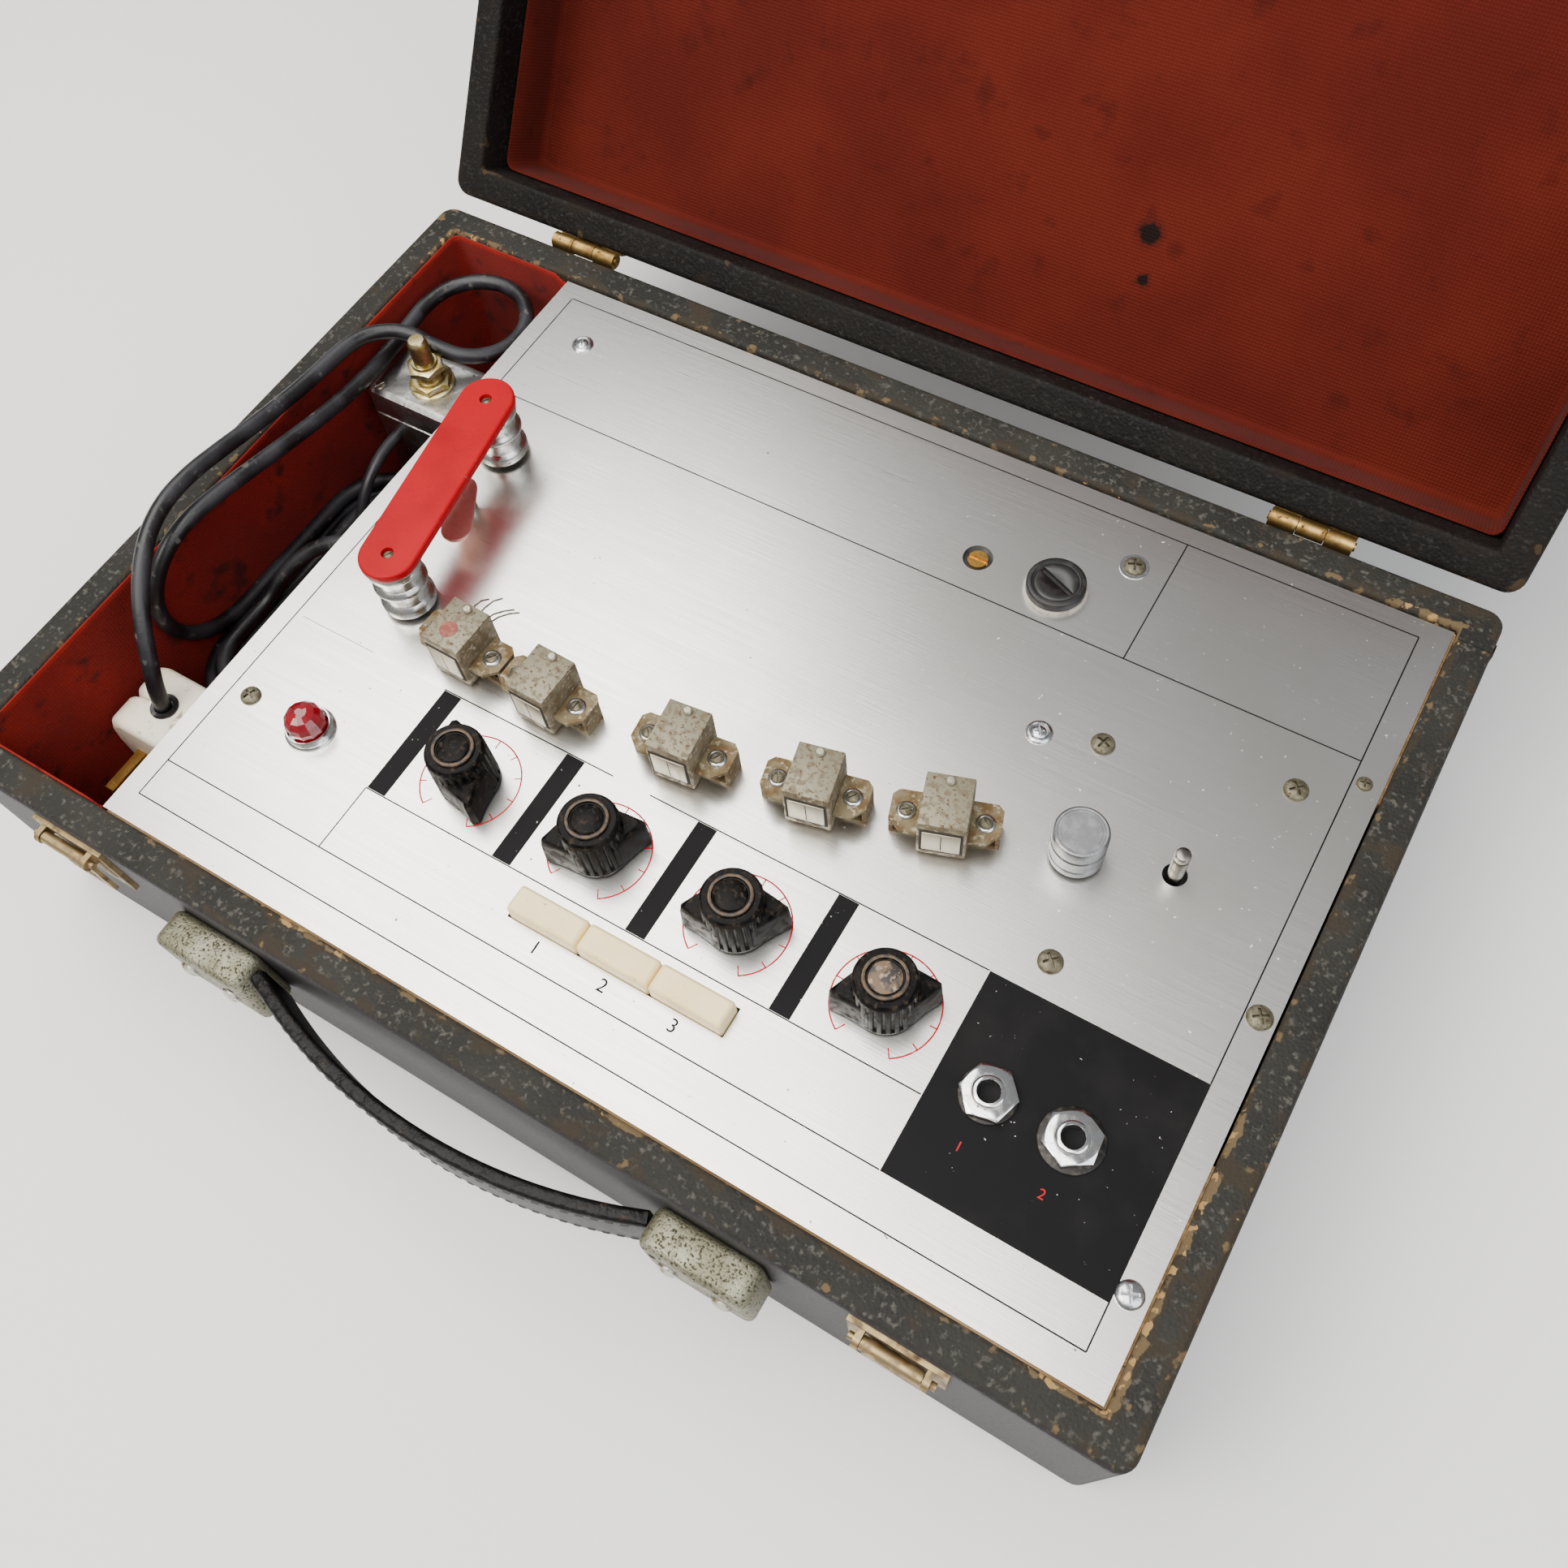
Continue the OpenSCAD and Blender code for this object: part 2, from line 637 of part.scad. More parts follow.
// The lever hangs down from its pin; turned up, its window goes over the strike's tongue
module catch_lever() {
    difference() {
        union() {
            translate([-lever_w / 2, lever_y, lever_z]) rotate([0, 90, 0])
                cylinder(d = 4.2, h = lever_w);
            block([-lever_w / 2, lever_w / 2], [lever_y - lever_t / 2, lever_y + lever_t / 2],
                  [lever_z - lever_l, lever_z]);
        }
        translate([-lever_w, lever_y, lever_z]) rotate([0, 90, 0])
            cylinder(d = lever_pin_d + 2 * turn_gap, h = 2 * lever_w);
        block([-lever_w / 2 + 4, lever_w / 2 - 4], [lever_y - 2, lever_y + 2],
              [lever_z - lever_l + 3, lever_z - lever_l + 9]);
    }
}
module catch_lever_left() {
    color([0.78, 0.67, 0.42]) translate([-catch_x, 0, 0]) catch_lever();
}
module catch_lever_right() {
    color([0.78, 0.67, 0.42]) translate([catch_x, 0, 0]) catch_lever();
}
module catch_strikes() {
    color([0.7, 0.58, 0.36])
        for (s = [-1, 1]) translate([s * catch_x, 0, 0]) lid_pose() {
            y1 = -case_d / 2;
            block([-lever_w / 2, lever_w / 2], [y1 - 1.2, y1], [strike_z - 9, strike_z + 9]);
            block([-lever_w / 2 + 5, lever_w / 2 - 5], [y1 - 6.2, y1 - 1.2],
                  [strike_z - 4, strike_z - 2]);
        }
}

// Handle
module handle_strap() {
    color([0.06, 0.06, 0.06])
        translate([0, -case_d / 2 - strap_gap - strap_t - strap_bow + strap_r,
                   handle_z - strap_w / 2])
            rotate([0, 0, 270 - strap_a]) rotate_extrude(angle = 2 * strap_a, $fn = 180)
                translate([strap_r - strap_t, 0]) square([strap_t, strap_w]);
}
module handle_caps() {
    color([0.75, 0.75, 0.72])
        difference() {
            for (s = [-1, 1])
                from_front(s * (handle_x + cap_l / 2), handle_z)
                    linear_extrude(cap_t) round_rect(cap_l, cap_h, 3);
            handle_screw_holes();
        }
}

// Control panel
module panel_plate() {
    color([0.85, 0.85, 0.84])
        difference() {
            block([panel_x0, panel_x0 + panel_w], [panel_y0, panel_y0 + panel_d],
                  [under_z, panel_z]);
            for (p = knob_places) drill(p, bush_d);
            for (p = jack_places) drill(p, jack_bush_d);
            drill(lamp_place, lamp_body_d);
            drill(fuse_place, fuse_body_d);
            drill(dial_place, dial_hole_d);
            drill(capstan_place, capstan_hole_d);
            drill(idler_place, post_d);
            drill(bridge_front, post_d);
            drill(bridge_back, post_d);
            drill(leaf_place, screw_d);
            for (s = panel_screw_places) drill(s, screw_d);
            for (h = heads, x = [-1, 1]) drill(head_ear(h, x), screw_d);
            for (m = motor_holes) drill(motor_hole(m), screw_d);
            on_panel([key_x, key_y], -panel_t - 1)
                linear_extrude(panel_t + 2)
                    square([3 * key_pitch + 2 * free_gap, key_d + 2 * free_gap], center = true);
        }
}
module drill(place, d) on_panel(place, -panel_t - 1) cylinder(d = d + 2 * turn_gap, h = panel_t + 2);
lamp_body_d = 12;
fuse_body_d = 14;
function turned(p, a) = [p[0] * cos(a) - p[1] * sin(a), p[0] * sin(a) + p[1] * cos(a)];
function head_ear(h, s) = [h[0], h[1]] + turned([s * ear_pitch / 2, 0], h[2]);
function motor_hole(m) = capstan_place + turned(m, motor_turn);

module panel_screws() {
    color([0.5, 0.42, 0.3]) {
        for (s = panel_screw_places) on_panel(s) screw(s[2], screw_d, 10);
        for (m = motor_holes) on_panel(motor_hole(m)) screw(motor_screw_head, screw_d, 13);
        for (h = heads, x = [-1, 1]) on_panel(head_ear(h, x), ear_z)
            screw(deck_screw_head, screw_d, ear_z + 4);
        for (b = [bridge_front, bridge_back]) on_panel(b, bridge_z - 1.6)
            screw(4.4, 2.4, 5);
    }
}

// Jack sockets: sleeve, nut, washers, body under the panel
module jack_sockets() {
    color([0.8, 0.8, 0.82])
        for (i = [0, 1]) on_panel(jack_places[i]) {
            difference() {
                union() {
                    translate([0, 0, -panel_t - jack_body[2]]) linear_extrude(jack_body[2])
                        square([jack_body[0], jack_body[1]], center = true);
                    translate([0, 0, -panel_t - skin]) cylinder(d = jack_bush_d, h = panel_t + 4.5);
                }
                translate([0, 0, 3 - panel_t - jack_body[2]]) cylinder(d = jack_bore, h = 40);
            }
            difference() {
                cylinder(d = jack_washer[i], h = 0.8);
                translate([0, 0, -1]) cylinder(d = jack_bush_d + 2 * turn_gap, h = 3);
            }
            difference() {
                translate([0, 0, 0.8 + seat_gap]) hex(jack_nut, 2.8);
                translate([0, 0, -1]) cylinder(d = jack_bush_d + 2 * turn_gap, h = 7);
            }
        }
}

// Rotary controls and their knobs
module pot_bodies() {
    color([0.7, 0.68, 0.6])
        for (p = knob_places) on_panel(p) difference() {
            union() {
                translate([0, 0, -panel_t - pot_h]) cylinder(d = pot_d, h = pot_h);
                translate([0, 0, -panel_t - skin]) cylinder(d = bush_d, h = panel_t + 2.6);
                translate([0, 0, seat_gap]) hex(control_nut, 2);
            }
            translate([0, 0, 2 - panel_t - pot_h]) cylinder(d = shaft_d + 2 * turn_gap, h = pot_h + 8);
        }
}
module wing_outline() {
    tip = wing_span / 2;
    polygon([[-tip, -1.2], [-tip, 1.2], [-knob_d * 0.3, knob_d * 0.42], [knob_d * 0.3, knob_d * 0.42],
             [tip, 1.2], [tip, -1.2], [knob_d * 0.3, -knob_d * 0.42], [-knob_d * 0.3, -knob_d * 0.42]]);
}
module knob(i) {
    ridges = 24;
    on_panel(knob_places[i]) rotate([0, 0, knob_turn[i]]) {
        difference() {
            union() {
                translate([0, 0, knob_foot]) linear_extrude(wing_h) wing_outline();
                translate([0, 0, knob_foot]) cylinder(d = knob_d - 0.8, h = knob_h - knob_foot - 1);
                translate([0, 0, knob_foot]) linear_extrude(knob_h - knob_foot - 3)
                    for (k = [0:ridges - 1]) rotate(k * 360 / ridges)
                        translate([knob_d / 2 - 0.9, 0]) square([1.4, 1.2], center = true);
                translate([0, 0, knob_foot]) cylinder(d = knob_d - 3, h = knob_h - knob_foot - 0.4);
                translate([0, 0, knob_foot]) cylinder(d = 13.6, h = knob_h - knob_foot);
            }
            translate([0, 0, knob_foot - 1]) cylinder(d = control_nut + 3.6, h = 4);
            translate([0, 0, knob_foot - 1]) cylinder(d = shaft_d + 2 * turn_gap, h = knob_h - 3);
        }
        translate([0, 0, -panel_t - 9]) cylinder(d = shaft_d, h = panel_t + 9 + knob_h - 4);
    }
}
module knob_1() { color([0.12, 0.12, 0.12]) knob(0); }
module knob_2() { color([0.12, 0.12, 0.12]) knob(1); }
module knob_3() { color([0.12, 0.12, 0.12]) knob(2); }
module knob_4() { color([0.12, 0.12, 0.12]) knob(3); }

// Keys and the switch frame below them
module key_frame() {
    color([0.7, 0.7, 0.68])
        on_panel([key_x, key_y], -panel_t - key_frame_h) difference() {
            linear_extrude(key_frame_h) square([3 * key_pitch + 6, key_d + 10], center = true);
            translate([0, 0, key_frame_h + panel_t - key_foot - key_travel - free_gap]) linear_extrude(20)
                square([3 * key_pitch + 2 * free_gap, key_d + 2 * free_gap], center = true);
            for (i = [-1:1]) translate([i * key_pitch, 0, -1]) linear_extrude(30)
                square([key_stem_w + 2 * free_gap, 4 + 2 * free_gap], center = true);
        }
}
module key(i) {
    on_panel(key_places[i]) {
        translate([0, 0, -key_foot]) linear_extrude(key_h + key_foot)
            square([key_w, key_d], center = true);
        translate([0, 0, 2 - panel_t - key_frame_h]) linear_extrude(panel_t + key_frame_h - 2)
            square([key_stem_w, 4], center = true);
    }
}
module key_1() { color([0.98, 0.92, 0.82]) key(0); }
module key_2() { color([0.98, 0.92, 0.82]) key(1); }
module key_3() { color([0.98, 0.92, 0.82]) key(2); }

// Lamp
module lamp_bezel() {
    color([0.8, 0.8, 0.82]) on_panel(lamp_place) difference() {
        union() {
            cylinder(d = bezel_d, h = 1.4);
            cylinder(d1 = bezel_d - 1, d2 = jewel_d + 1.6, h = 3.6);
            translate([0, 0, -panel_t - 20]) cylinder(d = lamp_body_d, h = panel_t + 21);
        }
        translate([0, 0, 1]) cylinder(d = jewel_d + 2 * turn_gap, h = 10);
        translate([0, 0, -panel_t - 16]) cylinder(d = 9, h = 30);
    }
}
module lamp_jewel() {
    color([0.6, 0.05, 0.1]) on_panel(lamp_place) {
        translate([0, 0, 1]) cylinder(d = jewel_d, h = 4.6);
        translate([0, 0, 5.6 - skin]) intersection() {
            cylinder(d = jewel_d, h = 10);
            translate([0, 0, -1.2]) sphere(d = jewel_d + 2);
        }
    }
}

// Fuse holder and voltage selector
module fuse_holder() {
    color([0.75, 0.72, 0.66]) on_panel(fuse_place) difference() {
        union() {
            cylinder(d = fuse_d + 1.5, h = 1);
            translate([0, 0, -panel_t - 28]) cylinder(d = fuse_body_d, h = panel_t + 28.5);
        }
        translate([0, 0, -panel_t - 25]) cylinder(d = 10, h = 60);
    }
}
module fuse_cap() {
    color([0.07, 0.07, 0.07]) on_panel(fuse_place) {
        difference() {
            translate([0, 0, 1 + free_gap]) cylinder(d = fuse_d, h = 3.4);
            translate([-fuse_d, -0.9, 3.4]) cube([2 * fuse_d, 1.8, 4]);
        }
        translate([0, 0, -panel_t - 20]) cylinder(d = 10 - 2 * turn_gap, h = panel_t + 21 + free_gap + skin);
    }
}
module selector_body() {
    color([0.1, 0.1, 0.1]) on_panel(dial_place) difference() {
        translate([0, 0, -panel_t - 14]) cylinder(d = 18, h = 14);
        translate([0, 0, -panel_t - 10]) cylinder(d = dial_d + 2 * turn_gap, h = 20);
    }
}
module selector_dial() {
    color([0.75, 0.6, 0.3]) on_panel(dial_place) difference() {
        translate([0, 0, -panel_t - 9]) cylinder(d = dial_d, h = panel_t + 8.4);
        translate([-dial_d, -0.6, -1.8]) cube([2 * dial_d, 1.2, 4]);
    }
}

// Tape heads and their brackets
module at_head(h) on_panel([h[0], h[1]]) rotate([0, 0, h[2]]) children();
module tape_head() {
    difference() {
        block([-head_w / 2, head_w / 2], [-head_d / 2, head_d / 2], [bracket_t, head_h]);
        block([-0.5, 0.5], [-head_d / 2 - 1, -head_d / 2 + 0.6], [4, head_h - 2]);
    }
    translate([0, head_d / 2 - 2.5, head_h - skin]) cylinder(d = 3, h = 1.4);
}
module erase_head() { color([0.66, 0.63, 0.56]) at_head(heads[0]) tape_head(); }
module record_replay_heads() {
    color([0.62, 0.56, 0.46]) for (i = [1:4]) at_head(heads[i]) tape_head();
}
// One strip per bracket: ear, leg, base under the head, leg, ear
module head_brackets() {
    tip = ear_pitch / 2 + 5;
    color([0.54, 0.48, 0.36])
        for (h = heads) at_head(h) difference() {
            union() {
                translate([0, 0, ear_z - bracket_t]) linear_extrude(bracket_t)
                    polygon([[-tip, -3], [-tip + 4, -7], [tip - 4, -7], [tip, -3],
                             [tip, 5], [tip - 2, 7], [-tip + 2, 7], [-tip, 5]]);
                for (s = [-1, 1])
                    block([s * (tip - bracket_t / 2) - bracket_t / 2,
                           s * (tip - bracket_t / 2) + bracket_t / 2], [-3, 5], [0, ear_z]);
                block([-tip, tip], [-3, 5], [0, bracket_t]);
            }
            block([-head_w / 2 - seat_gap, head_w / 2 + seat_gap], [-10, 10], [bracket_t, 30]);
            for (s = [-1, 1]) translate([s * ear_pitch / 2, 0, -1])
                cylinder(d = screw_d + 2 * turn_gap, h = ear_z + 2);
        }
}

// Roller bridge, its posts, rollers and tension leaf
module roller_bridge() {
    color([0.81, 0.19, 0.19])
        on_panel(bridge_front, bridge_under) rotate([0, 0, bridge_turn]) difference() {
            linear_extrude(bridge_t) {
                circle(d = bridge_w);
                translate([bridge_l, 0]) circle(d = bridge_w);
                translate([0, -bridge_w / 2]) square([bridge_l, bridge_w]);
            }
            for (x = [0, bridge_l]) translate([x, 0, -1]) cylinder(d = 2.4 + 2 * turn_gap, h = 10);
            for (x = [0, bridge_l]) translate([x, 0, bridge_t - 1.6]) cylinder(d = 4.8, h = 10);
        }
}
module roller_post(top) {
    translate([0, 0, -panel_t - 5]) cylinder(d = post_d, h = panel_t + 5 + top);
    cylinder(d = 9, h = 1.6);
    translate([0, 0, -panel_t - 3]) hex(8, 3);
}
module roller_posts() {
    color([0.7, 0.7, 0.7]) {
        for (b = [bridge_front, bridge_back]) on_panel(b) difference() {
            roller_post(bridge_under);
            translate([0, 0, bridge_under - 4]) cylinder(d = 2.4 + 2 * turn_gap, h = 10);
        }
        on_panel(idler_place) roller_post(idler_h - 3);
        on_panel(leaf_place) {
            translate([0, 0, -panel_t - 4]) cylinder(d = screw_d, h = panel_t + 4 + 10);
            cylinder(d = 6, h = 8.6);
        }
    }
}
module guide_roller() {
    z0 = 1.6 + free_gap;
    z1 = bridge_under - free_gap;
    r = roller_d / 2;
    h = z1 - z0;
    difference() {
        translate([0, 0, z0]) rotate_extrude()
            polygon([[0, 0], [r, 0], [r, h * 0.16], [r - 1.6, h * 0.22], [r - 1.6, h * 0.44],
                     [r, h * 0.5], [r, h * 0.56], [r - 1.6, h * 0.62], [r - 1.6, h * 0.82],
                     [r, h * 0.88], [r, h], [0, h]]);
        translate([0, 0, -1]) cylinder(d = post_d + 2 * turn_gap, h = 40);
    }
}
module guide_roller_front() { color([0.8, 0.8, 0.8]) on_panel(bridge_front) guide_roller(); }
module guide_roller_back() { color([0.8, 0.8, 0.8]) on_panel(bridge_back) guide_roller(); }
module tension_leaf() {
    color([0.85, 0.6, 0.58])
        on_panel(leaf_place, 8.6) rotate([0, 0, leaf_turn]) difference() {
            linear_extrude(1.2) {
                circle(d = 11);
                translate([leaf_reach, 0]) circle(d = 11);
                translate([0, -5.5]) square([leaf_reach, 11]);
            }
            translate([0, 0, -1]) cylinder(d = screw_d + 2 * turn_gap, h = 5);
        }
}
module idler_roller() {
    color([0.55, 0.55, 0.56])
        on_panel(idler_place) difference() {
            translate([0, 0, 1.6 + free_gap]) cylinder(d = idler_d, h = idler_h - 1.6 - free_gap);
            translate([0, 0, -1]) cylinder(d = post_d + 2 * turn_gap, h = 1 + idler_h - 3 + free_gap);
        }
}

// Motor, hung from the panel; the capstan is the end of its shaft
motor_z1 = -panel_t - motor_drop;
motor_z0 = motor_z1 - motor_h;
module capstan_rotor() {
    gap = 1.2;
    color([0.75, 0.75, 0.76]) on_panel(capstan_place) {
        translate([0, 0, motor_z0 + 1]) cylinder(d = capstan_d, h = capstan_h - 4.4 - motor_z0 - 1);
        translate([0, 0, capstan_h - 4.5]) cylinder(d = capstan_d - 1.6, h = 1.2);
        translate([0, 0, capstan_h - 3.4]) cylinder(d = capstan_d, h = 3.4);
        translate([0, 0, motor_z0 + motor_wall + gap])
            cylinder(d = motor_d * 0.6, h = motor_h - 2 * motor_wall - 2 * gap);
    }
}
module motor_body() {
    color([0.4, 0.42, 0.42]) on_panel(capstan_place) rotate([0, 0, motor_turn]) {
        difference() {
            union() {
                translate([0, 0, motor_z0]) cylinder(d = motor_d, h = motor_h, $fn = 96);
                translate([0, 0, motor_z1 - 2]) linear_extrude(2) {
                    square([59.4, 75], center = true);
                    for (m = motor_holes) translate(m) circle(5);
                }
                for (m = motor_holes) translate([m[0], m[1], motor_z1 - skin])
                    cylinder(d = 8, h = motor_drop + skin);
            }
            translate([0, 0, motor_z0 + motor_wall])
                cylinder(d = motor_d - 12, h = motor_h - 2 * motor_wall, $fn = 96);
            translate([0, 0, motor_z0 - 1]) cylinder(d = capstan_d + 2 * turn_gap, h = motor_h + 2);
            for (m = motor_holes) translate([m[0], m[1], motor_z1 - 6])
                cylinder(d = screw_d + 2 * turn_gap, h = 20);
        }
    }
}

// Mains transformer and circuit board on the case's floor
module transformer() {
    foot = [core[0] + 20, core[1], 1.6];
    color([0.45, 0.42, 0.38]) translate([core_place[0], core_place[1], board_t]) {
        translate([-core[0] / 2, -core[1] / 2, 0]) cube(core);
        translate([-winding[0] / 2, -winding[1] / 2, (core[2] - winding[2]) / 2]) cube(winding);
        translate([-foot[0] / 2, -foot[1] / 2, 0]) cube(foot);
    }
}
module board_corners() {
    for (x = [-1, 1], y = [-1, 1])
        translate([x * (board_size[0] / 2 - 7), y * (board_size[1] / 2 - 7), 0]) children();
}
module circuit_board() {
    top = board_rise + board_size[2];
    color([0.55, 0.4, 0.2]) translate([board_place[0], board_place[1], board_t]) {
        difference() {
            translate([-board_size[0] / 2, -board_size[1] / 2, board_rise]) cube(board_size);
            board_corners() translate([0, 0, board_rise - 1]) cylinder(d = 3.4, h = 4);
        }
        board_corners() cylinder(d = 7, h = board_rise - seat_gap);
        for (k = [0:5]) translate([(k - 2.7) * board_size[0] / 7.3, board_size[1] / 5, top - skin])
            cylinder(d = 10, h = 16);
        for (k = [0:7]) translate([(k - 3.6) * board_size[0] / 9.5, -board_size[1] / 4.5, top - skin])
            cylinder(d = 5.5, h = 6);
    }
}

// Footswitch, stood on end in the compartment
module footswitch_box() {
    color([0.7, 0.7, 0.7]) {
        y = [switch_y - switch_t / 2, switch_y + switch_t / 2];
        x = [switch_x - switch_w / 2, switch_x + switch_w / 2];
        difference() {
            union() {
                block(x, y, [bay_z0, switch_z1]);
                translate([switch_x, switch_y, switch_z1 - skin]) cylinder(d = 10, h = bush_h);
                translate([switch_x, switch_y, switch_z1 - skin]) cylinder(d = 18, h = 1);
                translate([switch_x, switch_y, switch_z1 + 1 - skin]) hex(15, 3.4);
                translate([switch_x, switch_y, switch_z1 + bush_h - 3.4]) hex(13, 2.4);
            }
            block([x[0] + 1.6, x[1] - 1.6], [y[0] + 1.6, y[1] - 1.6], [bay_z0 + 1.6, switch_z1 - 1.6]);
            translate([switch_x, switch_y, switch_z1 - 5]) cylinder(d = button_d + 2 * turn_gap, h = 40);
        }
    }
}
module footswitch_button() {
    color([0.78, 0.74, 0.6])
        translate([switch_x, switch_y, switch_z1 - 8]) {
            cylinder(d = button_d, h = 8 + bush_h + button_h);
            cylinder(d = button_d + 4, h = 3);
        }
}

// Mains plug, stood on end with its pins to the front
module mains_plug() {
    color([0.92, 0.88, 0.8])
        difference() {
            translate([plug_x, plug_y + plug_t / 2, bay_z0]) rotate([90, 0, 0]) linear_extrude(plug_t)
                polygon([[-plug_w / 2, 4], [-plug_w / 2 + 4, 0], [plug_w / 2 - 4, 0],
                         [plug_w / 2, 4], [plug_w / 2, plug_l * 0.45], [plug_top / 2, plug_l - 6],
                         [plug_top / 2 - 6, plug_l], [-plug_top / 2 + 6, plug_l],
                         [-plug_top / 2, plug_l - 6], [-plug_w / 2, plug_l * 0.45]]);
            translate([entry_x, plug_y, plug_z1 - entry_deep]) cylinder(d = entry_d, h = entry_deep + 1);
        }
}
module plug_pins() {
    color([0.8, 0.68, 0.35]) {
        y = plug_y - plug_t / 2;
        z = bay_z0 + 12;
        block([plug_x - 4, plug_x + 4], [y - 22.7, y], [z - 2, z + 2]);
        for (s = [-1, 1])
            block([plug_x + s * 11.1 - 2, plug_x + s * 11.1 + 2], [y - 17.7, y], [z + 19, z + 25.4]);
    }
}
module partition_grommets() {
    color([0.06, 0.06, 0.06])
        for (e = [mains_exit, lead_exit])
            translate([bay_x1, e[0], e[1]]) rotate([0, 90, 0]) difference() {
                union() {
                    cylinder(d = grommet_d, h = lining_t);
                    cylinder(d = grommet_d - 4 - 2 * turn_gap, h = partition_t);
                }
                translate([0, 0, 4]) cylinder(d = 4, h = 20);
            }
}

// Leads
module mains_hank() {
    color([0.1, 0.1, 0.11]) tube(mains_points, mains_d, 6, [0, 0, 1]);
}
module mains_lead() {
    color([0.1, 0.1, 0.11]) {
        tube(mains_from_wall, mains_d, 8, [0, 1, 1]);
        tube(mains_to_plug, mains_d, 8, [1, 0.3, 0.2]);
    }
}
module footswitch_hank() {
    color([0.16, 0.16, 0.17]) tube(lead_points, switch_lead_d, 6, [0, 0, 1]);
}
module footswitch_lead() {
    color([0.16, 0.16, 0.17]) {
        tube(lead_from_box, switch_lead_d, 8, [1, 0, 0]);
        tube(lead_to_wall, switch_lead_d, 8, [0, 0, 1]);
    }
}

case_side_boards();
case_front_back_boards();
case_floor();
partition();
panel_battens();
compartment_lining();
feet();
case_screws();
lid_side_boards();
lid_front_back_boards();
lid_top();
lid_lining();
hinge_case_leaves();
hinge_lid_leaves();
catch_plates();
catch_lever_left();
catch_lever_right();
catch_strikes();
handle_strap();
handle_caps();
panel_plate();
panel_screws();
jack_sockets();
pot_bodies();
knob_1();
knob_2();
knob_3();
knob_4();
key_frame();
key_1();
key_2();
key_3();
lamp_bezel();
lamp_jewel();
fuse_holder();
fuse_cap();
selector_body();
selector_dial();
erase_head();
record_replay_heads();
head_brackets();
roller_bridge();
roller_posts();
guide_roller_front();
guide_roller_back();
tension_leaf();
idler_roller();
capstan_rotor();
motor_body();
transformer();
circuit_board();
footswitch_box();
footswitch_button();
mains_plug();
plug_pins();
partition_grommets();
mains_hank();
mains_lead();
footswitch_hank();
footswitch_lead();
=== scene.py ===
from math import asin, cos, hypot, pi, radians, sin

import bmesh
import bpy
from mathutils import Matrix, Vector


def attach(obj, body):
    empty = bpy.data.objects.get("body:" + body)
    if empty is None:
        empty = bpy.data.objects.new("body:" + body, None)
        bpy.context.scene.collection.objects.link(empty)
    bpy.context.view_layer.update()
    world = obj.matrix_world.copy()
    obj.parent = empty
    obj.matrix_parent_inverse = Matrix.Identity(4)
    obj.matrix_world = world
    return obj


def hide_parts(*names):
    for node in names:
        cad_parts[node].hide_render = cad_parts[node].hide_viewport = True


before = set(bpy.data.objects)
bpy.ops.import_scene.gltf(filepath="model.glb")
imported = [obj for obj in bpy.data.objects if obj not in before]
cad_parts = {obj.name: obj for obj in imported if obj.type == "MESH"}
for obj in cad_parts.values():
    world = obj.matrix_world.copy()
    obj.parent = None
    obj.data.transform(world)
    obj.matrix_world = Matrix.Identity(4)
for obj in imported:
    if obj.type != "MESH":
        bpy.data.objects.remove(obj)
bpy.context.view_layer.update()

# Camera -------------------------------------------------------------------------------------
# It stands in front of the player's right hand and looks down over the open case, as the
# photograph does: a moderately wide lens, close to the panel.
camera_place = (0.17081, -0.18405, 0.48080)
camera_right = (0.85705, 0.51093, -0.06639)
camera_up = (-0.42518, 0.77415, 0.46895)
camera_back = (0.29100, -0.37368, 0.88073)
camera_lens = 32.4
optical_centre_rise = 3 / 1932

camera = bpy.data.objects.new("camera", bpy.data.cameras.new("camera"))
camera.data.sensor_width = 36
camera.data.lens = camera_lens
camera.data.shift_y = -optical_centre_rise
camera.data.clip_start = 0.01
camera.matrix_world = Matrix.Translation(camera_place) @ Matrix(
    (camera_right, camera_up, camera_back)).transposed().to_4x4()
bpy.context.scene.collection.objects.link(camera)
bpy.context.scene.camera = camera


# Mains lead ---------------------------------------------------------------------------------
# Round flexible lead, black rubber sheath 6 mm thick. It comes through a grommet in the
# partition, lies in a hank of four loops, runs round the compartment and ends in the plug.
mm = 0.001


def linear(code):
    """The linear colour of an sRGB hex code."""
    parts = [int(code[i:i + 2], 16) / 255 for i in (1, 3, 5)]
    return (*[c / 12.92 if c <= 0.04045 else ((c + 0.055) / 1.055) ** 2.4 for c in parts], 1)


def add_node(tree, kind, settings=None, links=None):
    """Adds a node; settings are its own values or its sockets' by name or number."""
    node = tree.nodes.new(kind)
    for name, value in (settings or {}).items():
        if isinstance(name, str) and hasattr(node, name):
            setattr(node, name, value)
        else:
            node.inputs[name].default_value = value
    for name, source in (links or {}).items():
        tree.links.new(source, node.inputs[name])
    return node


def start_finish(name, colour, roughness, **constants):
    """A material that is one shader; constants are that shader's sockets."""
    material = bpy.data.materials.new(name)
    material.use_nodes = True
    shader = material.node_tree.nodes["Principled BSDF"]
    shader.inputs["Base Color"].default_value = linear(colour)
    shader.inputs["Roughness"].default_value = roughness
    for socket, value in constants.items():
        shader.inputs[socket.replace("_", " ")].default_value = value
    return material


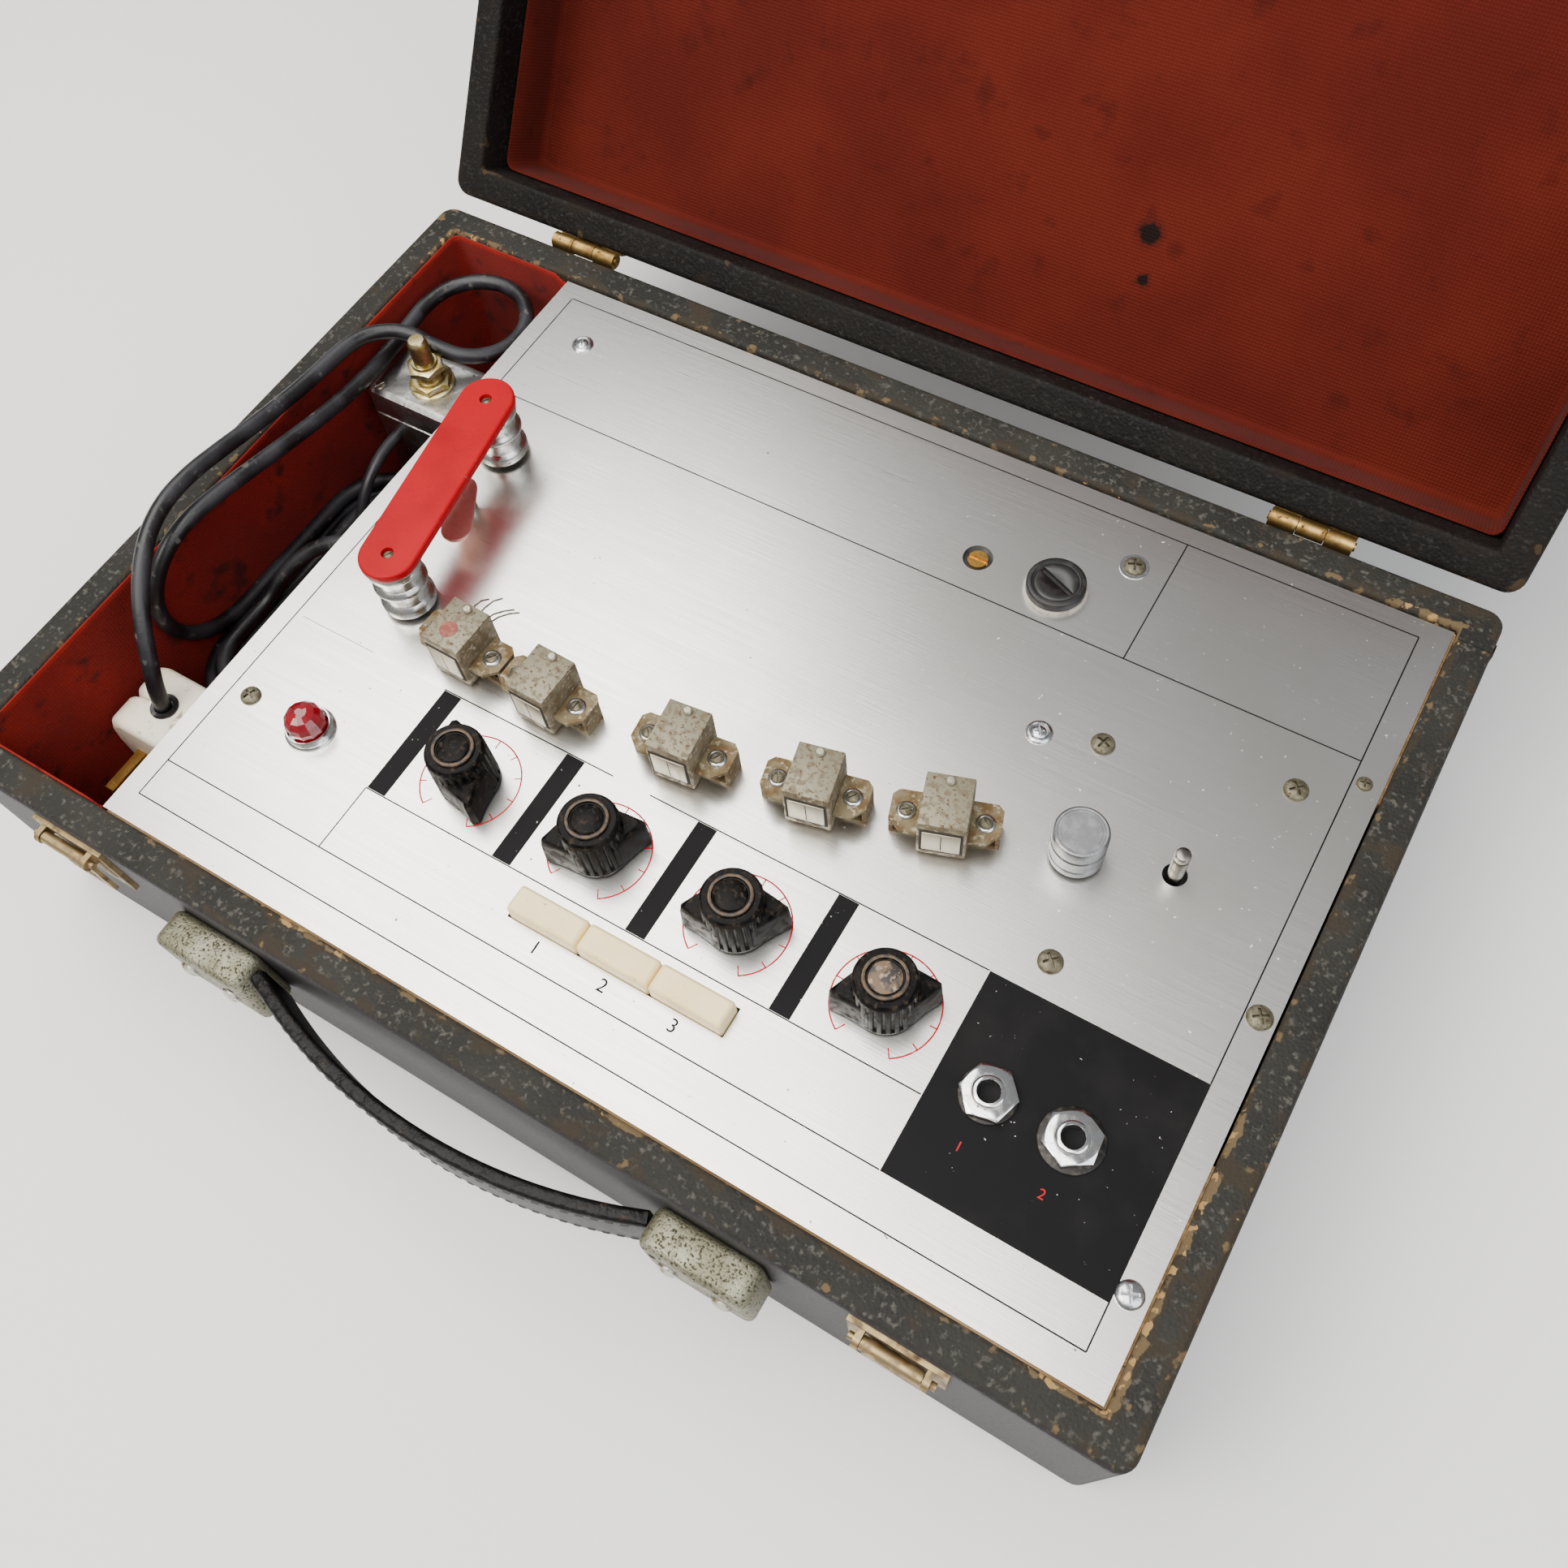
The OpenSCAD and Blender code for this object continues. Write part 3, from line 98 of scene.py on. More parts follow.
def patches(material, size, low=0.45, high=0.6, detail=4, stretch=(1, 1, 1), seed=0.0):
    """A mask of soft patches of about size metres; it is 0 below low and 1 above high."""
    tree = material.node_tree
    place = add_node(tree, "ShaderNodeTexCoord").outputs["Object"]
    place = add_node(tree, "ShaderNodeMapping",
                     {"Scale": stretch, "Location": (seed, seed, seed)},
                     {"Vector": place}).outputs[0]
    noise = add_node(tree, "ShaderNodeTexNoise", {"Scale": 1 / size, "Detail": detail},
                     {"Vector": place})
    return add_node(tree, "ShaderNodeMapRange", {"From Min": low, "From Max": high},
                    {"Value": noise.outputs["Fac"]}).outputs[0]


def lay_over(material, mask, colour=None, **levels):
    """Lays a second finish over the first where mask is 1: a colour, roughness or metallic."""
    tree = material.node_tree
    shader = tree.nodes["Principled BSDF"]
    changes = [("Base Color", linear(colour))] if colour else []
    for name, value in changes + [(k.replace("_", " "), v) for k, v in levels.items()]:
        socket = shader.inputs[name]
        coloured = name == "Base Color"
        first, second, kind, result = (6, 7, "RGBA", 2) if coloured else (2, 3, "FLOAT", 0)
        mix = add_node(tree, "ShaderNodeMix", {"data_type": kind, second: value}, {0: mask})
        if socket.is_linked:
            tree.links.new(socket.links[0].from_socket, mix.inputs[first])
        else:
            mix.inputs[first].default_value = socket.default_value
        tree.links.new(mix.outputs[result], socket)


def spot(material, colour, size, low=0.45, high=0.6, rough=None, metal=None, **pattern):
    """Lays patches of a second finish over the first."""
    levels = {name: value for name, value in (("Roughness", rough), ("Metallic", metal))
              if value is not None}
    lay_over(material, patches(material, size, low, high, **pattern), colour, **levels)


def raise_grain(material, height, depth, strength=1.0):
    """Gives the surface relief: depth is the height of the pattern's 1 over its 0, in metres."""
    tree = material.node_tree
    shader = tree.nodes["Principled BSDF"]
    bump = add_node(tree, "ShaderNodeBump", {"Strength": strength, "Distance": depth},
                    {"Height": height})
    if shader.inputs["Normal"].is_linked:
        tree.links.new(shader.inputs["Normal"].links[0].from_socket, bump.inputs["Normal"])
    tree.links.new(bump.outputs[0], shader.inputs["Normal"])


# Black rubber sheath, extruded: a dull sheen, dusty where it has lain
sheath_black = start_finish("extruded_rubber_sheath", "#101012", 0.38)
spot(sheath_black, "#26262A", 0.02, rough=0.55)
spot(sheath_black, "#4B4844", 0.004, 0.62, 0.7, rough=0.8)
raise_grain(sheath_black, patches(sheath_black, 0.0012, 0.3, 0.7), 0.00004)


def ease(s):
    s = min(max(s, 0), 1)
    return s * s * (3 - 2 * s)


def on_hank(k, run, radius, centre, up):
    """Point k of the 24 of a turn: left run, front fold, right run, back fold."""
    if k < 2:
        place = (-radius, -run * k / 2)
    elif k < 10:
        turn = radians((k - 2) * 22.5)
        place = (-radius * cos(turn), -run - radius * sin(turn))
    elif k < 14:
        place = (radius, -run + run * (k - 10) / 2)
    elif k < 22:
        turn = radians((k - 14) * 22.5)
        place = (radius * cos(turn), run + radius * sin(turn))
    else:
        place = (-radius, run - run * (k - 22) / 2)
    return (centre[0] + place[0], centre[1] + place[1], centre[2] + up)


def smooth_route(points, steps=5):
    """The route's points in metres, with more laid between them on one smooth curve."""
    knots = [Vector(p) * mm for p in points]
    knots = [2 * knots[0] - knots[1], *knots, 2 * knots[-1] - knots[-2]]
    route = []
    for a, b, c, d in zip(knots, knots[1:], knots[2:], knots[3:]):
        for i in range(steps):
            t = i / steps
            route.append(0.5 * (2 * b + (c - a) * t + (2 * a - 5 * b + 4 * c - d) * t * t
                                + (3 * b - a - 3 * c + d) * t ** 3))
    return route + [knots[-2]]


def lay_lead(name, route, diameter, finish, body="case"):
    """A lead as a curve of one open spline, round in section, closed at its ends."""
    curve = bpy.data.curves.new(name, "CURVE")
    curve.dimensions = "3D"
    curve.bevel_depth = diameter / 2
    curve.bevel_resolution = 4
    curve.use_fill_caps = True
    spline = curve.splines.new("POLY")
    spline.points.add(len(route) - 1)
    for point, place in zip(spline.points, route):
        point.co = (*place, 1)
    curve.materials.append(finish)
    lead = bpy.data.objects.new(name, curve)
    bpy.context.scene.collection.objects.link(lead)
    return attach(lead, body)


case_top = 92.0
bay_left, bay_right, bay_floor = -203.2, -146.8, 6.8
mains_d = 6
mains_pitch = mains_d + 0.8
plug_foot, plug_height = bay_floor, 57
plug_middle = (-176.5, -88)
entry_x, entry_depth = -177, 6
mains_start = (bay_right, 5, 60)
mains_turns = [on_hank((i + 1) % 24, 35, 18.1 + mains_pitch * ease((i - 42) / 12),
                       (-175, -10, 27.6), mains_pitch * abs(i / 24 - 2)) for i in range(97)]
mains_points = [
    mains_start, (-155, 5, 60), (-164.5, 4.2, 59.6), (-174, 1, 58), (-181.5, -4, 55),
    (-187.6, -11, 50.6), (-191.4, -19, 45.6), *mains_turns,
    (-199.9, -37, 42), (-199.9, -46.5, 45), (-199.8, -54.5, 51.2), (-199.6, -59.8, 60),
    (-199.2, -61.2, 70), (-198.6, -58.6, 80), (-197.8, -52.2, 88.6), (-196.8, -43, 94.6),
    (-195.6, -32, 97.4), (-194.4, -20, 97.2), (-193.4, -6, 95.2), (-192.8, 10, 92.2),
    (-192.6, 26, 89), (-192.6, 42, 86.2), (-193.2, 58, 84.2), (-194.6, 74, 83),
    (-196.4, 89, 82.5), (-197.2, 102, 82.5), (-194.2, 113.3, 82.5), (-186.1, 121.4, 82.5),
    (-175, 124.4, 82.5), (-163.9, 121.4, 82.5), (-155.8, 113.3, 82.5), (-152.8, 102.2, 82.9),
    (-155.8, 91.1, 84.3), (-163.9, 83, 86.8), (-175, 80, 90), (-182.4, 79.3, 92),
    (-189.6, 76.4, 93.7), (-196.2, 69.6, 95), (-199.2, 60.4, 95.8), (-199.9, 48, 96.4),
    (-200, 35, 97.4), (-200, 21, 99.4), (-200, 7, 102), (-200, -7, 104.8), (-199.9, -20, 107),
    (-199, -33, 107.8), (-196.6, -45, 106.6), (-192.6, -56, 103.2), (-187.8, -66, 97.6),
    (-183.2, -74.4, 90.2), (-179.6, -81, 81.6), (-177.6, -85.8, 73), (-177, -88, 65.4),
    (entry_x, plug_middle[1], plug_foot + plug_height - entry_depth),
]
mains_route = smooth_route(mains_points)
mains_lead = lay_lead("mains_lead_black", mains_route, mains_d * mm, sheath_black)
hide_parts("mains_hank", "mains_lead")

# Footswitch lead ----------------------------------------------------------------------------
# A thinner lead, 4.5 mm, grey-black PVC. It leaves the footswitch's front face, lies in a hank
# on the compartment's floor and goes through its own grommet in the partition.
switch_lead_d = 4.5
switch_pitch = switch_lead_d + 0.8
switch_turns = 86 / 24
switch_exit = (-187.5, 57, 56)
switch_loops = [on_hank(i % 24, 36, 15 + switch_pitch * min(i / 24, switch_turns - i / 24),
                        (-175, -10, bay_floor + 0.3 + switch_lead_d / 2),
                        switch_pitch * ease((i - 40) / 4)) for i in range(87)]
switch_points = [
    switch_exit, (-187.4, 50, 56), (-187, 43, 55), (-186.8, 36, 52), (-186.5, 30, 47.6),
    (-186.3, 24, 41), (-186, 18.4, 33), (-186, 13, 25), (-186, 7, 18), (-186.8, 0, 12.6),
    *switch_loops,
    (-160.7, 30, 16.4), (-161.1, 34, 18.8), (-161, 38.5, 20.9), (-159.6, 43.4, 21.6),
    (-156, 46.9, 21.6), (-151.1, 48, 21.6), (bay_right, 48, 21.6),
]
# Grey-black PVC, extruded: smoother and shinier than the rubber
sheath_grey = start_finish("extruded_pvc_sheath", "#2A2B2E", 0.32)
spot(sheath_grey, "#3A3B3E", 0.015, rough=0.45)
switch_route = smooth_route(switch_points)
switch_lead = lay_lead("footswitch_lead_grey", switch_route, switch_lead_d * mm, sheath_grey)
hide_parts("footswitch_hank", "footswitch_lead")


# Mains plug ---------------------------------------------------------------------------------
# Moulded cream plastic, two halves screwed together, wide at its pins and drawn in above them.
# It stands on end on the compartment's floor; the lead goes into a hole in its top.
def show(name, shape, finishes, smooth_angle=35):
    """Puts a mesh or bmesh into the scene; edges sharper than the angle stay crisp."""
    mesh = to_mesh(shape, name) if isinstance(shape, bmesh.types.BMesh) else shape
    if smooth_angle:
        mesh.shade_smooth()
        mesh.set_sharp_from_angle(angle=radians(smooth_angle))
        for face in mesh.polygons:
            face.use_smooth = len(face.vertices) < 5
    for finish in finishes:
        mesh.materials.append(finish)
    piece = bpy.data.objects.new(name, mesh)
    bpy.context.scene.collection.objects.link(piece)
    return piece


def join_in(piece, body, slot, *replaced):
    """Rides a piece on its body and hides the CAD nodes it replaces; slot is not used."""
    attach(piece, body)
    if replaced:
        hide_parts(*replaced)


def to_mesh(build, name):
    """A bmesh as a mesh, with doubled points merged and its faces turned outwards."""
    bmesh.ops.remove_doubles(build, verts=build.verts, dist=1e-7)
    bmesh.ops.recalc_face_normals(build, faces=build.faces)
    mesh = bpy.data.meshes.new(name)
    build.to_mesh(mesh)
    build.free()
    return mesh


def add_prism(build, outline, low, high, place=Matrix.Identity(4), bevel=0.0, steps=3, slot=0,
              sharp=30, unit=mm):
    """Extrudes an outline from low to high, rounds its edges and sets it in place."""
    made = [build.verts.new((x * unit, y * unit, z * unit)) for z in (low, high)
            for x, y in outline]
    n = len(outline)
    faces = [build.faces.new(made[:n][::-1]), build.faces.new(made[n:])]
    faces += [build.faces.new((made[i], made[(i + 1) % n], made[n + (i + 1) % n], made[n + i]))
              for i in range(n)]
    for face in faces:
        face.material_index = slot
    if bevel:
        build.normal_update()
        edges = [e for e in dict.fromkeys(e for f in faces for e in f.edges)
                 if e.calc_face_angle(0) > radians(sharp)]
        done = bmesh.ops.bevel(build, geom=edges, offset=bevel * unit, segments=steps,
                               profile=0.5, affect="EDGES", clamp_overlap=True, material=slot)
        made += [v for f in done["faces"] for v in f.verts]
        made = [v for v in dict.fromkeys(made) if v.is_valid]
    bmesh.ops.transform(build, matrix=place, verts=made)


def add_lathe(build, profile, place=Matrix.Identity(4), sides=48, slot=0, unit=mm):
    """Turns a profile of (radius, height) about its axis; it closes at radius 0 at both ends."""
    rings = []
    for radius, height in [(r * unit, h * unit) for r, h in profile]:
        if radius < 1e-9:
            rings.append([build.verts.new((0, 0, height))])
        else:
            rings.append([build.verts.new((radius * cos(2 * pi * k / sides),
                                           radius * sin(2 * pi * k / sides), height))
                          for k in range(sides)])
    for low, high in zip(rings, rings[1:]):
        for k in range(sides):
            corners = [low[k % len(low)], low[(k + 1) % len(low)],
                       high[(k + 1) % len(high)], high[k % len(high)]]
            corners = [v for i, v in enumerate(corners) if v not in corners[:i]]
            if len(corners) > 2:
                build.faces.new(corners).material_index = slot
    made = [v for ring in rings for v in ring]
    bmesh.ops.transform(build, matrix=place, verts=made)


def at(x, y, z):
    """A place, in millimetres."""
    return Matrix.Translation(Vector((x, y, z)) * mm)


def turned_by(degrees, axis):
    return Matrix.Rotation(radians(degrees), 4, axis)


def rectangle(width, depth):
    return [(-width / 2, -depth / 2), (width / 2, -depth / 2), (width / 2, depth / 2),
            (-width / 2, depth / 2)]


# Cream moulded plastic: soft gloss, yellowed and rubbed grey on its faces
plug_plastic = start_finish("moulded_cream_plastic", "#E6DECB", 0.35, Subsurface_Weight=0.08,
                            Subsurface_Scale=0.002)
spot(plug_plastic, "#DBCFB4", 0.02, rough=0.45)
spot(plug_plastic, "#B5A689", 0.005, 0.6, 0.68, rough=0.6)
raise_grain(plug_plastic, patches(plug_plastic, 0.0016, 0.3, 0.7), 0.00003)
plug_outline = [(-25, 4), (-23.8, 1.2), (-21, 0), (21, 0), (23.8, 1.2), (25, 4), (25, 27),
                (24, 38), (21.5, 47), (17.5, 53.5), (12, 57), (-12, 57), (-17.5, 53.5),
                (-21.5, 47), (-24, 38), (-25, 27)]
upright = turned_by(90, "X")
build = bmesh.new()
for side in (-1, 1):
    half = at(plug_middle[0], plug_middle[1] + side * 7.05, plug_foot)
    add_prism(build, plug_outline, -6.95, 6.95, half @ upright, bevel=3.2, steps=5)
collar = at(entry_x, plug_middle[1], plug_foot)
add_lathe(build, [(0, 50), (6.8, 50), (6.8, 56.9), (3.3, 56.9), (3.3, 54), (0, 54)], collar)
plug = show("plug_body_cream", build, [plug_plastic])
join_in(plug, "case", "plug_cream", "mains_plug")

# Black rubber bush round the lead where it enters the plug
build = bmesh.new()
add_lathe(build, [(3.1, 54.5), (5.2, 54.5), (5.2, 57.6), (4.7, 58.2),
                  (3.5, 58), (3.1, 57.4), (3.1, 54.5)], collar, 32)
bush = show("plug_entry_bush", build, [sheath_black])
join_in(bush, "case", "plug_cream")


def paint_node(finish, *nodes):
    """Gives CAD nodes that keep their shape a finish."""
    for name in nodes:
        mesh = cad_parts[name].data
        mesh.materials.clear()
        mesh.materials.append(finish)


# Solid brass pins: bright where they wipe in a socket, tarnished at their root
pin_brass = start_finish("drawn_brass_pins", "#C9A557", 0.28, Metallic=1.0)
spot(pin_brass, "#8A6A35", 0.004, 0.5, 0.62, rough=0.45)
paint_node(pin_brass, "plug_pins")

# Black rubber boot that keeps the lead from kinking where it comes through the partition
build = bmesh.new()
boot_place = at(*mains_start) @ turned_by(-90, "Y")
boot = [(0, 0), (5.6, 0), (5.6, 1.2)]
for k in range(6):
    z = 1.6 + 3 * k
    boot += [(4.9 - 0.2 * k, z), (4.9 - 0.2 * k, z + 1.8), (4.2 - 0.15 * k, z + 2),
             (4.2 - 0.15 * k, z + 2.8)]
boot += [(3.3, 20), (0, 20)]
add_lathe(build, boot, boot_place)
relief = show("mains_lead_boot", build, [sheath_black])
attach(relief, "case")


# Case ---------------------------------------------------------------------------------------
# A box of 12 mm boards with rounded upright corners, covered all over in one piece of grained
# leathercloth that is turned over the rim. It is rubbed through to the wood at its arrises.
case_width, case_depth = 432, 290
wall = 12
corner_radius = 6
rim_radius = 2.2
# Where the rim is most worn: (x, y, reach)
rim_wear = [(-204, 139, 24), (-150, 145, 16), (204, 139, 22), (204, -60, 24), (204, -128, 30),
            (-60, -145, 24), (-20, -145, 14), (60, -139, 16), (204, -100, 30)]


def corner_ring(width, depth, radius, along=26, around=7):
    """Points round a rectangle with round corners, evenly spaced along each side."""
    points = []
    for sx, sy, start in ((1, -1, -90), (1, 1, 0), (-1, 1, 90), (-1, -1, 180)):
        for i in range(around):
            turn = radians(start + 90 * i / (around - 1))
            points.append((sx * (width / 2 - radius) + radius * cos(turn),
                           sy * (depth / 2 - radius) + radius * sin(turn)))
    ring = []
    for i, point in enumerate(points):
        after = points[(i + 1) % len(points)]
        ring.append(point)
        if i % around == around - 1:
            ring += [tuple(p + (q - p) * k / along for p, q in zip(point, after))
                     for k in range(1, along)]
    return ring


def quarter(centre, radius, start, end, steps=4, worn=1.0):
    """Points (offset, height, worn) of a rounded arris seen in section."""
    turns = [radians(start + (end - start) * i / steps) for i in range(steps + 1)]
    return [(centre[0] - radius * cos(t), centre[1] + radius * sin(t), worn) for t in turns]


def join_rings(build, rings):
    """Faces between rings that have the same count of points."""
    for low, high in zip(rings, rings[1:]):
        for i in range(len(low)):
            j = (i + 1) % len(low)
            build.faces.new((low[i], low[j], high[j], high[i]))


def loft_walls(section, width, depth, radius, closed=True, lid=None):
    """Walls whose section, (offset inwards, height, wear), runs round a case."""
    build = bmesh.new()
    wear = build.verts.layers.float.new("wear")
    rings = []
    for offset, height, worn in section:
        ring = []
        for x, y in corner_ring(width - 2 * offset, depth - 2 * offset,
                                max(radius - offset, 0.6)):
            point = build.verts.new((x * mm, y * mm, height * mm))
            near = max([0.0] + [1 - hypot(x - a, y - b) / r for a, b, r in rim_wear])
            point[wear] = worn * (0.62 + 0.38 * ease(2.2 * near))
            ring.append(point)
        rings.append(ring)
    join_rings(build, rings + rings[:1] if closed else rings)
    if not closed:
        build.faces.new(rings[0][::-1])
        build.faces.new(rings[-1])
    if lid:
        bmesh.ops.transform(build, matrix=lid, verts=build.verts)
    return build


def worn_edge(material, size, low, high, colour, roughness):
    """Lays the worn finish where the mesh says that the edge is rubbed, broken into patches."""
    tree = material.node_tree
    worn = add_node(tree, "ShaderNodeAttribute", {"attribute_name": "wear"}).outputs["Fac"]
    rub = add_node(tree, "ShaderNodeMath", {"operation": "MULTIPLY_ADD", 1: 0.62, 2: -0.5},
                   {0: worn}).outputs[0]
    rub = add_node(tree, "ShaderNodeMath", {"operation": "ADD"},
                   {0: rub, 1: patches(material, size, 0.2, 0.8, detail=6, seed=size)}).outputs[0]
    mask = add_node(tree, "ShaderNodeMapRange", {"From Min": low, "From Max": high},
                    {"Value": rub}).outputs[0]
    lay_over(material, mask, colour, Roughness=roughness)


def make_leathercloth(name, colour, faded, fleck, browned, rubbed, bare):
    """PVC on cotton, embossed with a grain near 1 mm; where it is rubbed it browns, then shows
    the cloth under it and the wood."""
    material = start_finish(name, colour, 0.6, Specular_IOR_Level=0.13)
    spot(material, faded, 0.03, 0.4, 0.65, rough=0.68)
    spot(material, fleck, 0.0011, 0.56, 0.7, rough=0.75, stretch=(0.6, 0.6, 1))
    worn_edge(material, 0.011, 0.28, 0.46, browned, 0.75)
    worn_edge(material, 0.006, 0.52, 0.6, rubbed, 0.85)
    worn_edge(material, 0.004, 0.68, 0.74, bare, 0.8)
    tree = material.node_tree
    place = add_node(tree, "ShaderNodeTexCoord").outputs["Object"]
    hide = add_node(tree, "ShaderNodeTexVoronoi", {"feature": "SMOOTH_F1", "Scale": 1 / 0.0011,
                                                   "Smoothness": 0.4}, {"Vector": place})
    raise_grain(material, hide.outputs["Distance"], 0.00025, 0.9)
    return material


leathercloth = make_leathercloth("grained_leathercloth", "#262522", "#2F2E2A", "#4E4C46",
                                 "#332D25", "#5E4F39", "#97794C")
# Painted light: the face towards the front is painted a little lighter and purplish, as it catches
# the light, and is smoother
tree = leathercloth.node_tree
place = add_node(tree, "ShaderNodeTexCoord").outputs["Object"]
ahead = add_node(tree, "ShaderNodeSeparateXYZ", None, {"Vector": place}).outputs["Y"]
front = add_node(tree, "ShaderNodeMapRange", {"From Min": -0.1438, "From Max": -0.1448},
                 {"Value": ahead})
lay_over(leathercloth, front.outputs[0], "#2C2A2C", Roughness=0.5)

section = [(6, 0, 0.2), (2.2, 0, 0.6), *quarter((2, 2), 2, -90, 0, worn=0.7)[1:],
           (0, 5, 0.1), (0, 30, 0), (0, 62, 0), (0, 86, 0.1),
           *quarter((rim_radius, case_top - rim_radius), rim_radius, 0, 90, worn=0.62),
           (4, case_top, 0.34), (6, case_top, 0.3), (9, case_top, 0.34),
           *quarter((wall - 1.4, case_top - 1.4), 1.4, 90, 180, worn=0.95),
           (wall, 86, 0.6), (wall, 60, 0), (wall, 20, 0), (wall, 0.2, 0), (9, 0, 0)]
case_build = loft_walls(section, case_width, case_depth, corner_radius)
case_walls = show("case_covered_walls", case_build, [leathercloth], 50)
join_in(case_walls, "case", "covered_board", "case_side_boards", "case_front_back_boards")

# Lap where the ends of the covering meet: a strip folded over the right rim by the back corner
build = bmesh.new()
lap_start, lap_width, lap_thick = 128.5, 5, 0.35
for x0, x1, z0, z1 in ((204.6, 215.4, case_top, case_top + lap_thick),
                       (case_width / 2, case_width / 2 + lap_thick, 40, case_top - 1.6)):
    add_prism(build, [(x0, lap_start), (x1, lap_start), (x1, lap_start + lap_width),
                      (x0, lap_start + lap_width)], z0, z1, bevel=0.12, steps=1)
lap = show("case_covering_lap", build, [leathercloth])
join_in(lap, "case", "covered_board")

# Floor board, partition and battens: birch plywood and pine, bare, with grain along X
plywood = start_finish("bare_birch_plywood", "#B08A5B", 0.7)
spot(plywood, "#8E6A41", 0.004, 0.4, 0.65, stretch=(0.06, 1, 1))
spot(plywood, "#C7A173", 0.0012, 0.5, 0.7, rough=0.6, stretch=(0.04, 1, 1))
raise_grain(plywood, patches(plywood, 0.0015, 0.3, 0.7, stretch=(0.05, 1, 1)), 0.0001)
paint_node(plywood, "case_floor", "partition", "panel_battens")

# Compartment lining -------------------------------------------------------------------------
# Brick red cotton cloth glued to the compartment's walls and floor, soft at its inner corners
# and stained dark in patches.
lining_thick = 0.8


def woven(material, thread, depth):
    """Two sets of threads at right angles; thread is the spacing of one set, in metres."""
    tree = material.node_tree
    place = add_node(tree, "ShaderNodeTexCoord").outputs["UV"]
    sets = []
    for axis in ("X", "Y"):
        wave = add_node(tree, "ShaderNodeTexWave",
                        {"bands_direction": axis, "Scale": 0.314 / thread, "Distortion": 1.1,
                         "Detail": 1.0, "Detail Scale": 0.4}, {"Vector": place})
        sets.append(wave.outputs["Fac"])
    cloth = add_node(tree, "ShaderNodeMath", {"operation": "MULTIPLY"}, {0: sets[0], 1: sets[1]})
    raise_grain(material, cloth.outputs[0], depth)
    return cloth.outputs[0]


def shade_gaps(material, threads, most, darkest, colour):
    """Paints shade into the gaps between threads: painted shade, a darker colour where the weave
    dips.
    """
    gaps = add_node(material.node_tree, "ShaderNodeMapRange",
                    {"From Min": 0.0, "From Max": most, "To Min": darkest, "To Max": 0.0},
                    {"Value": threads})
    lay_over(material, gaps.outputs[0], colour)


def map_flat(build):
    """Lays each face's own plane flat in metres as the cloth's UV map."""
    layer = build.loops.layers.uv.new("cloth")
    build.normal_update()
    for face in build.faces:
        axis = max(range(3), key=lambda i: abs(face.normal[i]))
        for loop in face.loops:
            point = loop.vert.co
            loop[layer].uv = [point[i] for i in range(3) if i != axis]


# Cotton cloth: matt, a fuzz of fibres, threads 1.2 mm apart drawn coarser than they are
compartment_cloth = start_finish("woven_red_cotton", "#730F05", 0.88, Specular_IOR_Level=0.2,
                                 Sheen_Weight=0.06, Sheen_Roughness=0.5)
spot(compartment_cloth, "#851507", 0.03, 0.4, 0.62)
spot(compartment_cloth, "#480A04", 0.009, 0.56, 0.7)
threads = woven(compartment_cloth, 0.0012, 0.00018)
# Painted shade in the gaps between the threads
shade_gaps(compartment_cloth, threads, 0.5, 0.18, "#34100A")
build = bmesh.new()
bay_wide, bay_long = bay_right - bay_left, 264.4
levels = [(91, 0), (88.3, 0), (70, 0), (40, 0), (12, 0), (8.6, 0.5), (7.4, 1.6), (bay_floor, 3.4)]
rings = []
for height, offset in levels:
    ring = []
    for x, y in corner_ring(bay_wide - 2 * offset, bay_long - 2 * offset, 3.5, along=14):
        limit = 88.3 if x > bay_wide / 2 - 4 else 91
        ring.append(build.verts.new((((bay_left + bay_right) / 2 + x) * mm, y * mm,
                                     min(height, limit) * mm)))
    rings.append(ring)
for high, low in zip(rings, rings[1:]):
    join_rings(build, [low, high])
build.faces.new(rings[-1])
bmesh.ops.remove_doubles(build, verts=build.verts, dist=1e-6)
bmesh.ops.recalc_face_normals(build, faces=build.faces)
if min(build.faces, key=lambda f: f.calc_center_median().z).normal.z < 0:
    bmesh.ops.reverse_faces(build, faces=build.faces)
map_flat(build)


def thicken(piece, thickness):
    """Gives a sheet its thickness and leaves a plain mesh."""
    solid = piece.modifiers.new("thickness", "SOLIDIFY")
    solid.thickness = thickness
    solid.offset = -1
    return flatten(piece)


def flatten(piece):
    """Makes what a piece's modifiers show its own mesh, and takes them off."""
    bpy.context.view_layer.update()
    graph = bpy.context.evaluated_depsgraph_get()
    mesh = bpy.data.meshes.new_from_object(piece.evaluated_get(graph))
    piece.modifiers.clear()
    piece.data = mesh
    mesh.name = piece.name
    return piece


lining_mesh = bpy.data.meshes.new("compartment_red_lining")
build.to_mesh(lining_mesh)
build.free()
lining = thicken(show("compartment_red_lining", lining_mesh, [compartment_cloth], 60),
                 (lining_thick - 0.1) * mm)
join_in(lining, "case", "red_cloth", "compartment_lining")

# Feet and case screws -----------------------------------------------------------------------
# Moulded black rubber feet, dished underneath, and the plated screws that hold them and the
# handle's caps.

# Moulded rubber: black and matt, greyed by dust
foot_rubber = start_finish("moulded_black_rubber", "#1A1A1A", 0.75)
spot(foot_rubber, "#3A3835", 0.006, 0.5, 0.68, rough=0.9)
paint_node(foot_rubber, "feet", "partition_grommets")
# Zinc plating on steel: a dull silver, browned where it has worn
screw_plate = start_finish("zinc_plated_steel", "#B5B2A8", 0.38, Metallic=1.0)
spot(screw_plate, "#7D6C52", 0.003, 0.52, 0.64, rough=0.6)
paint_node(screw_plate, "case_screws")

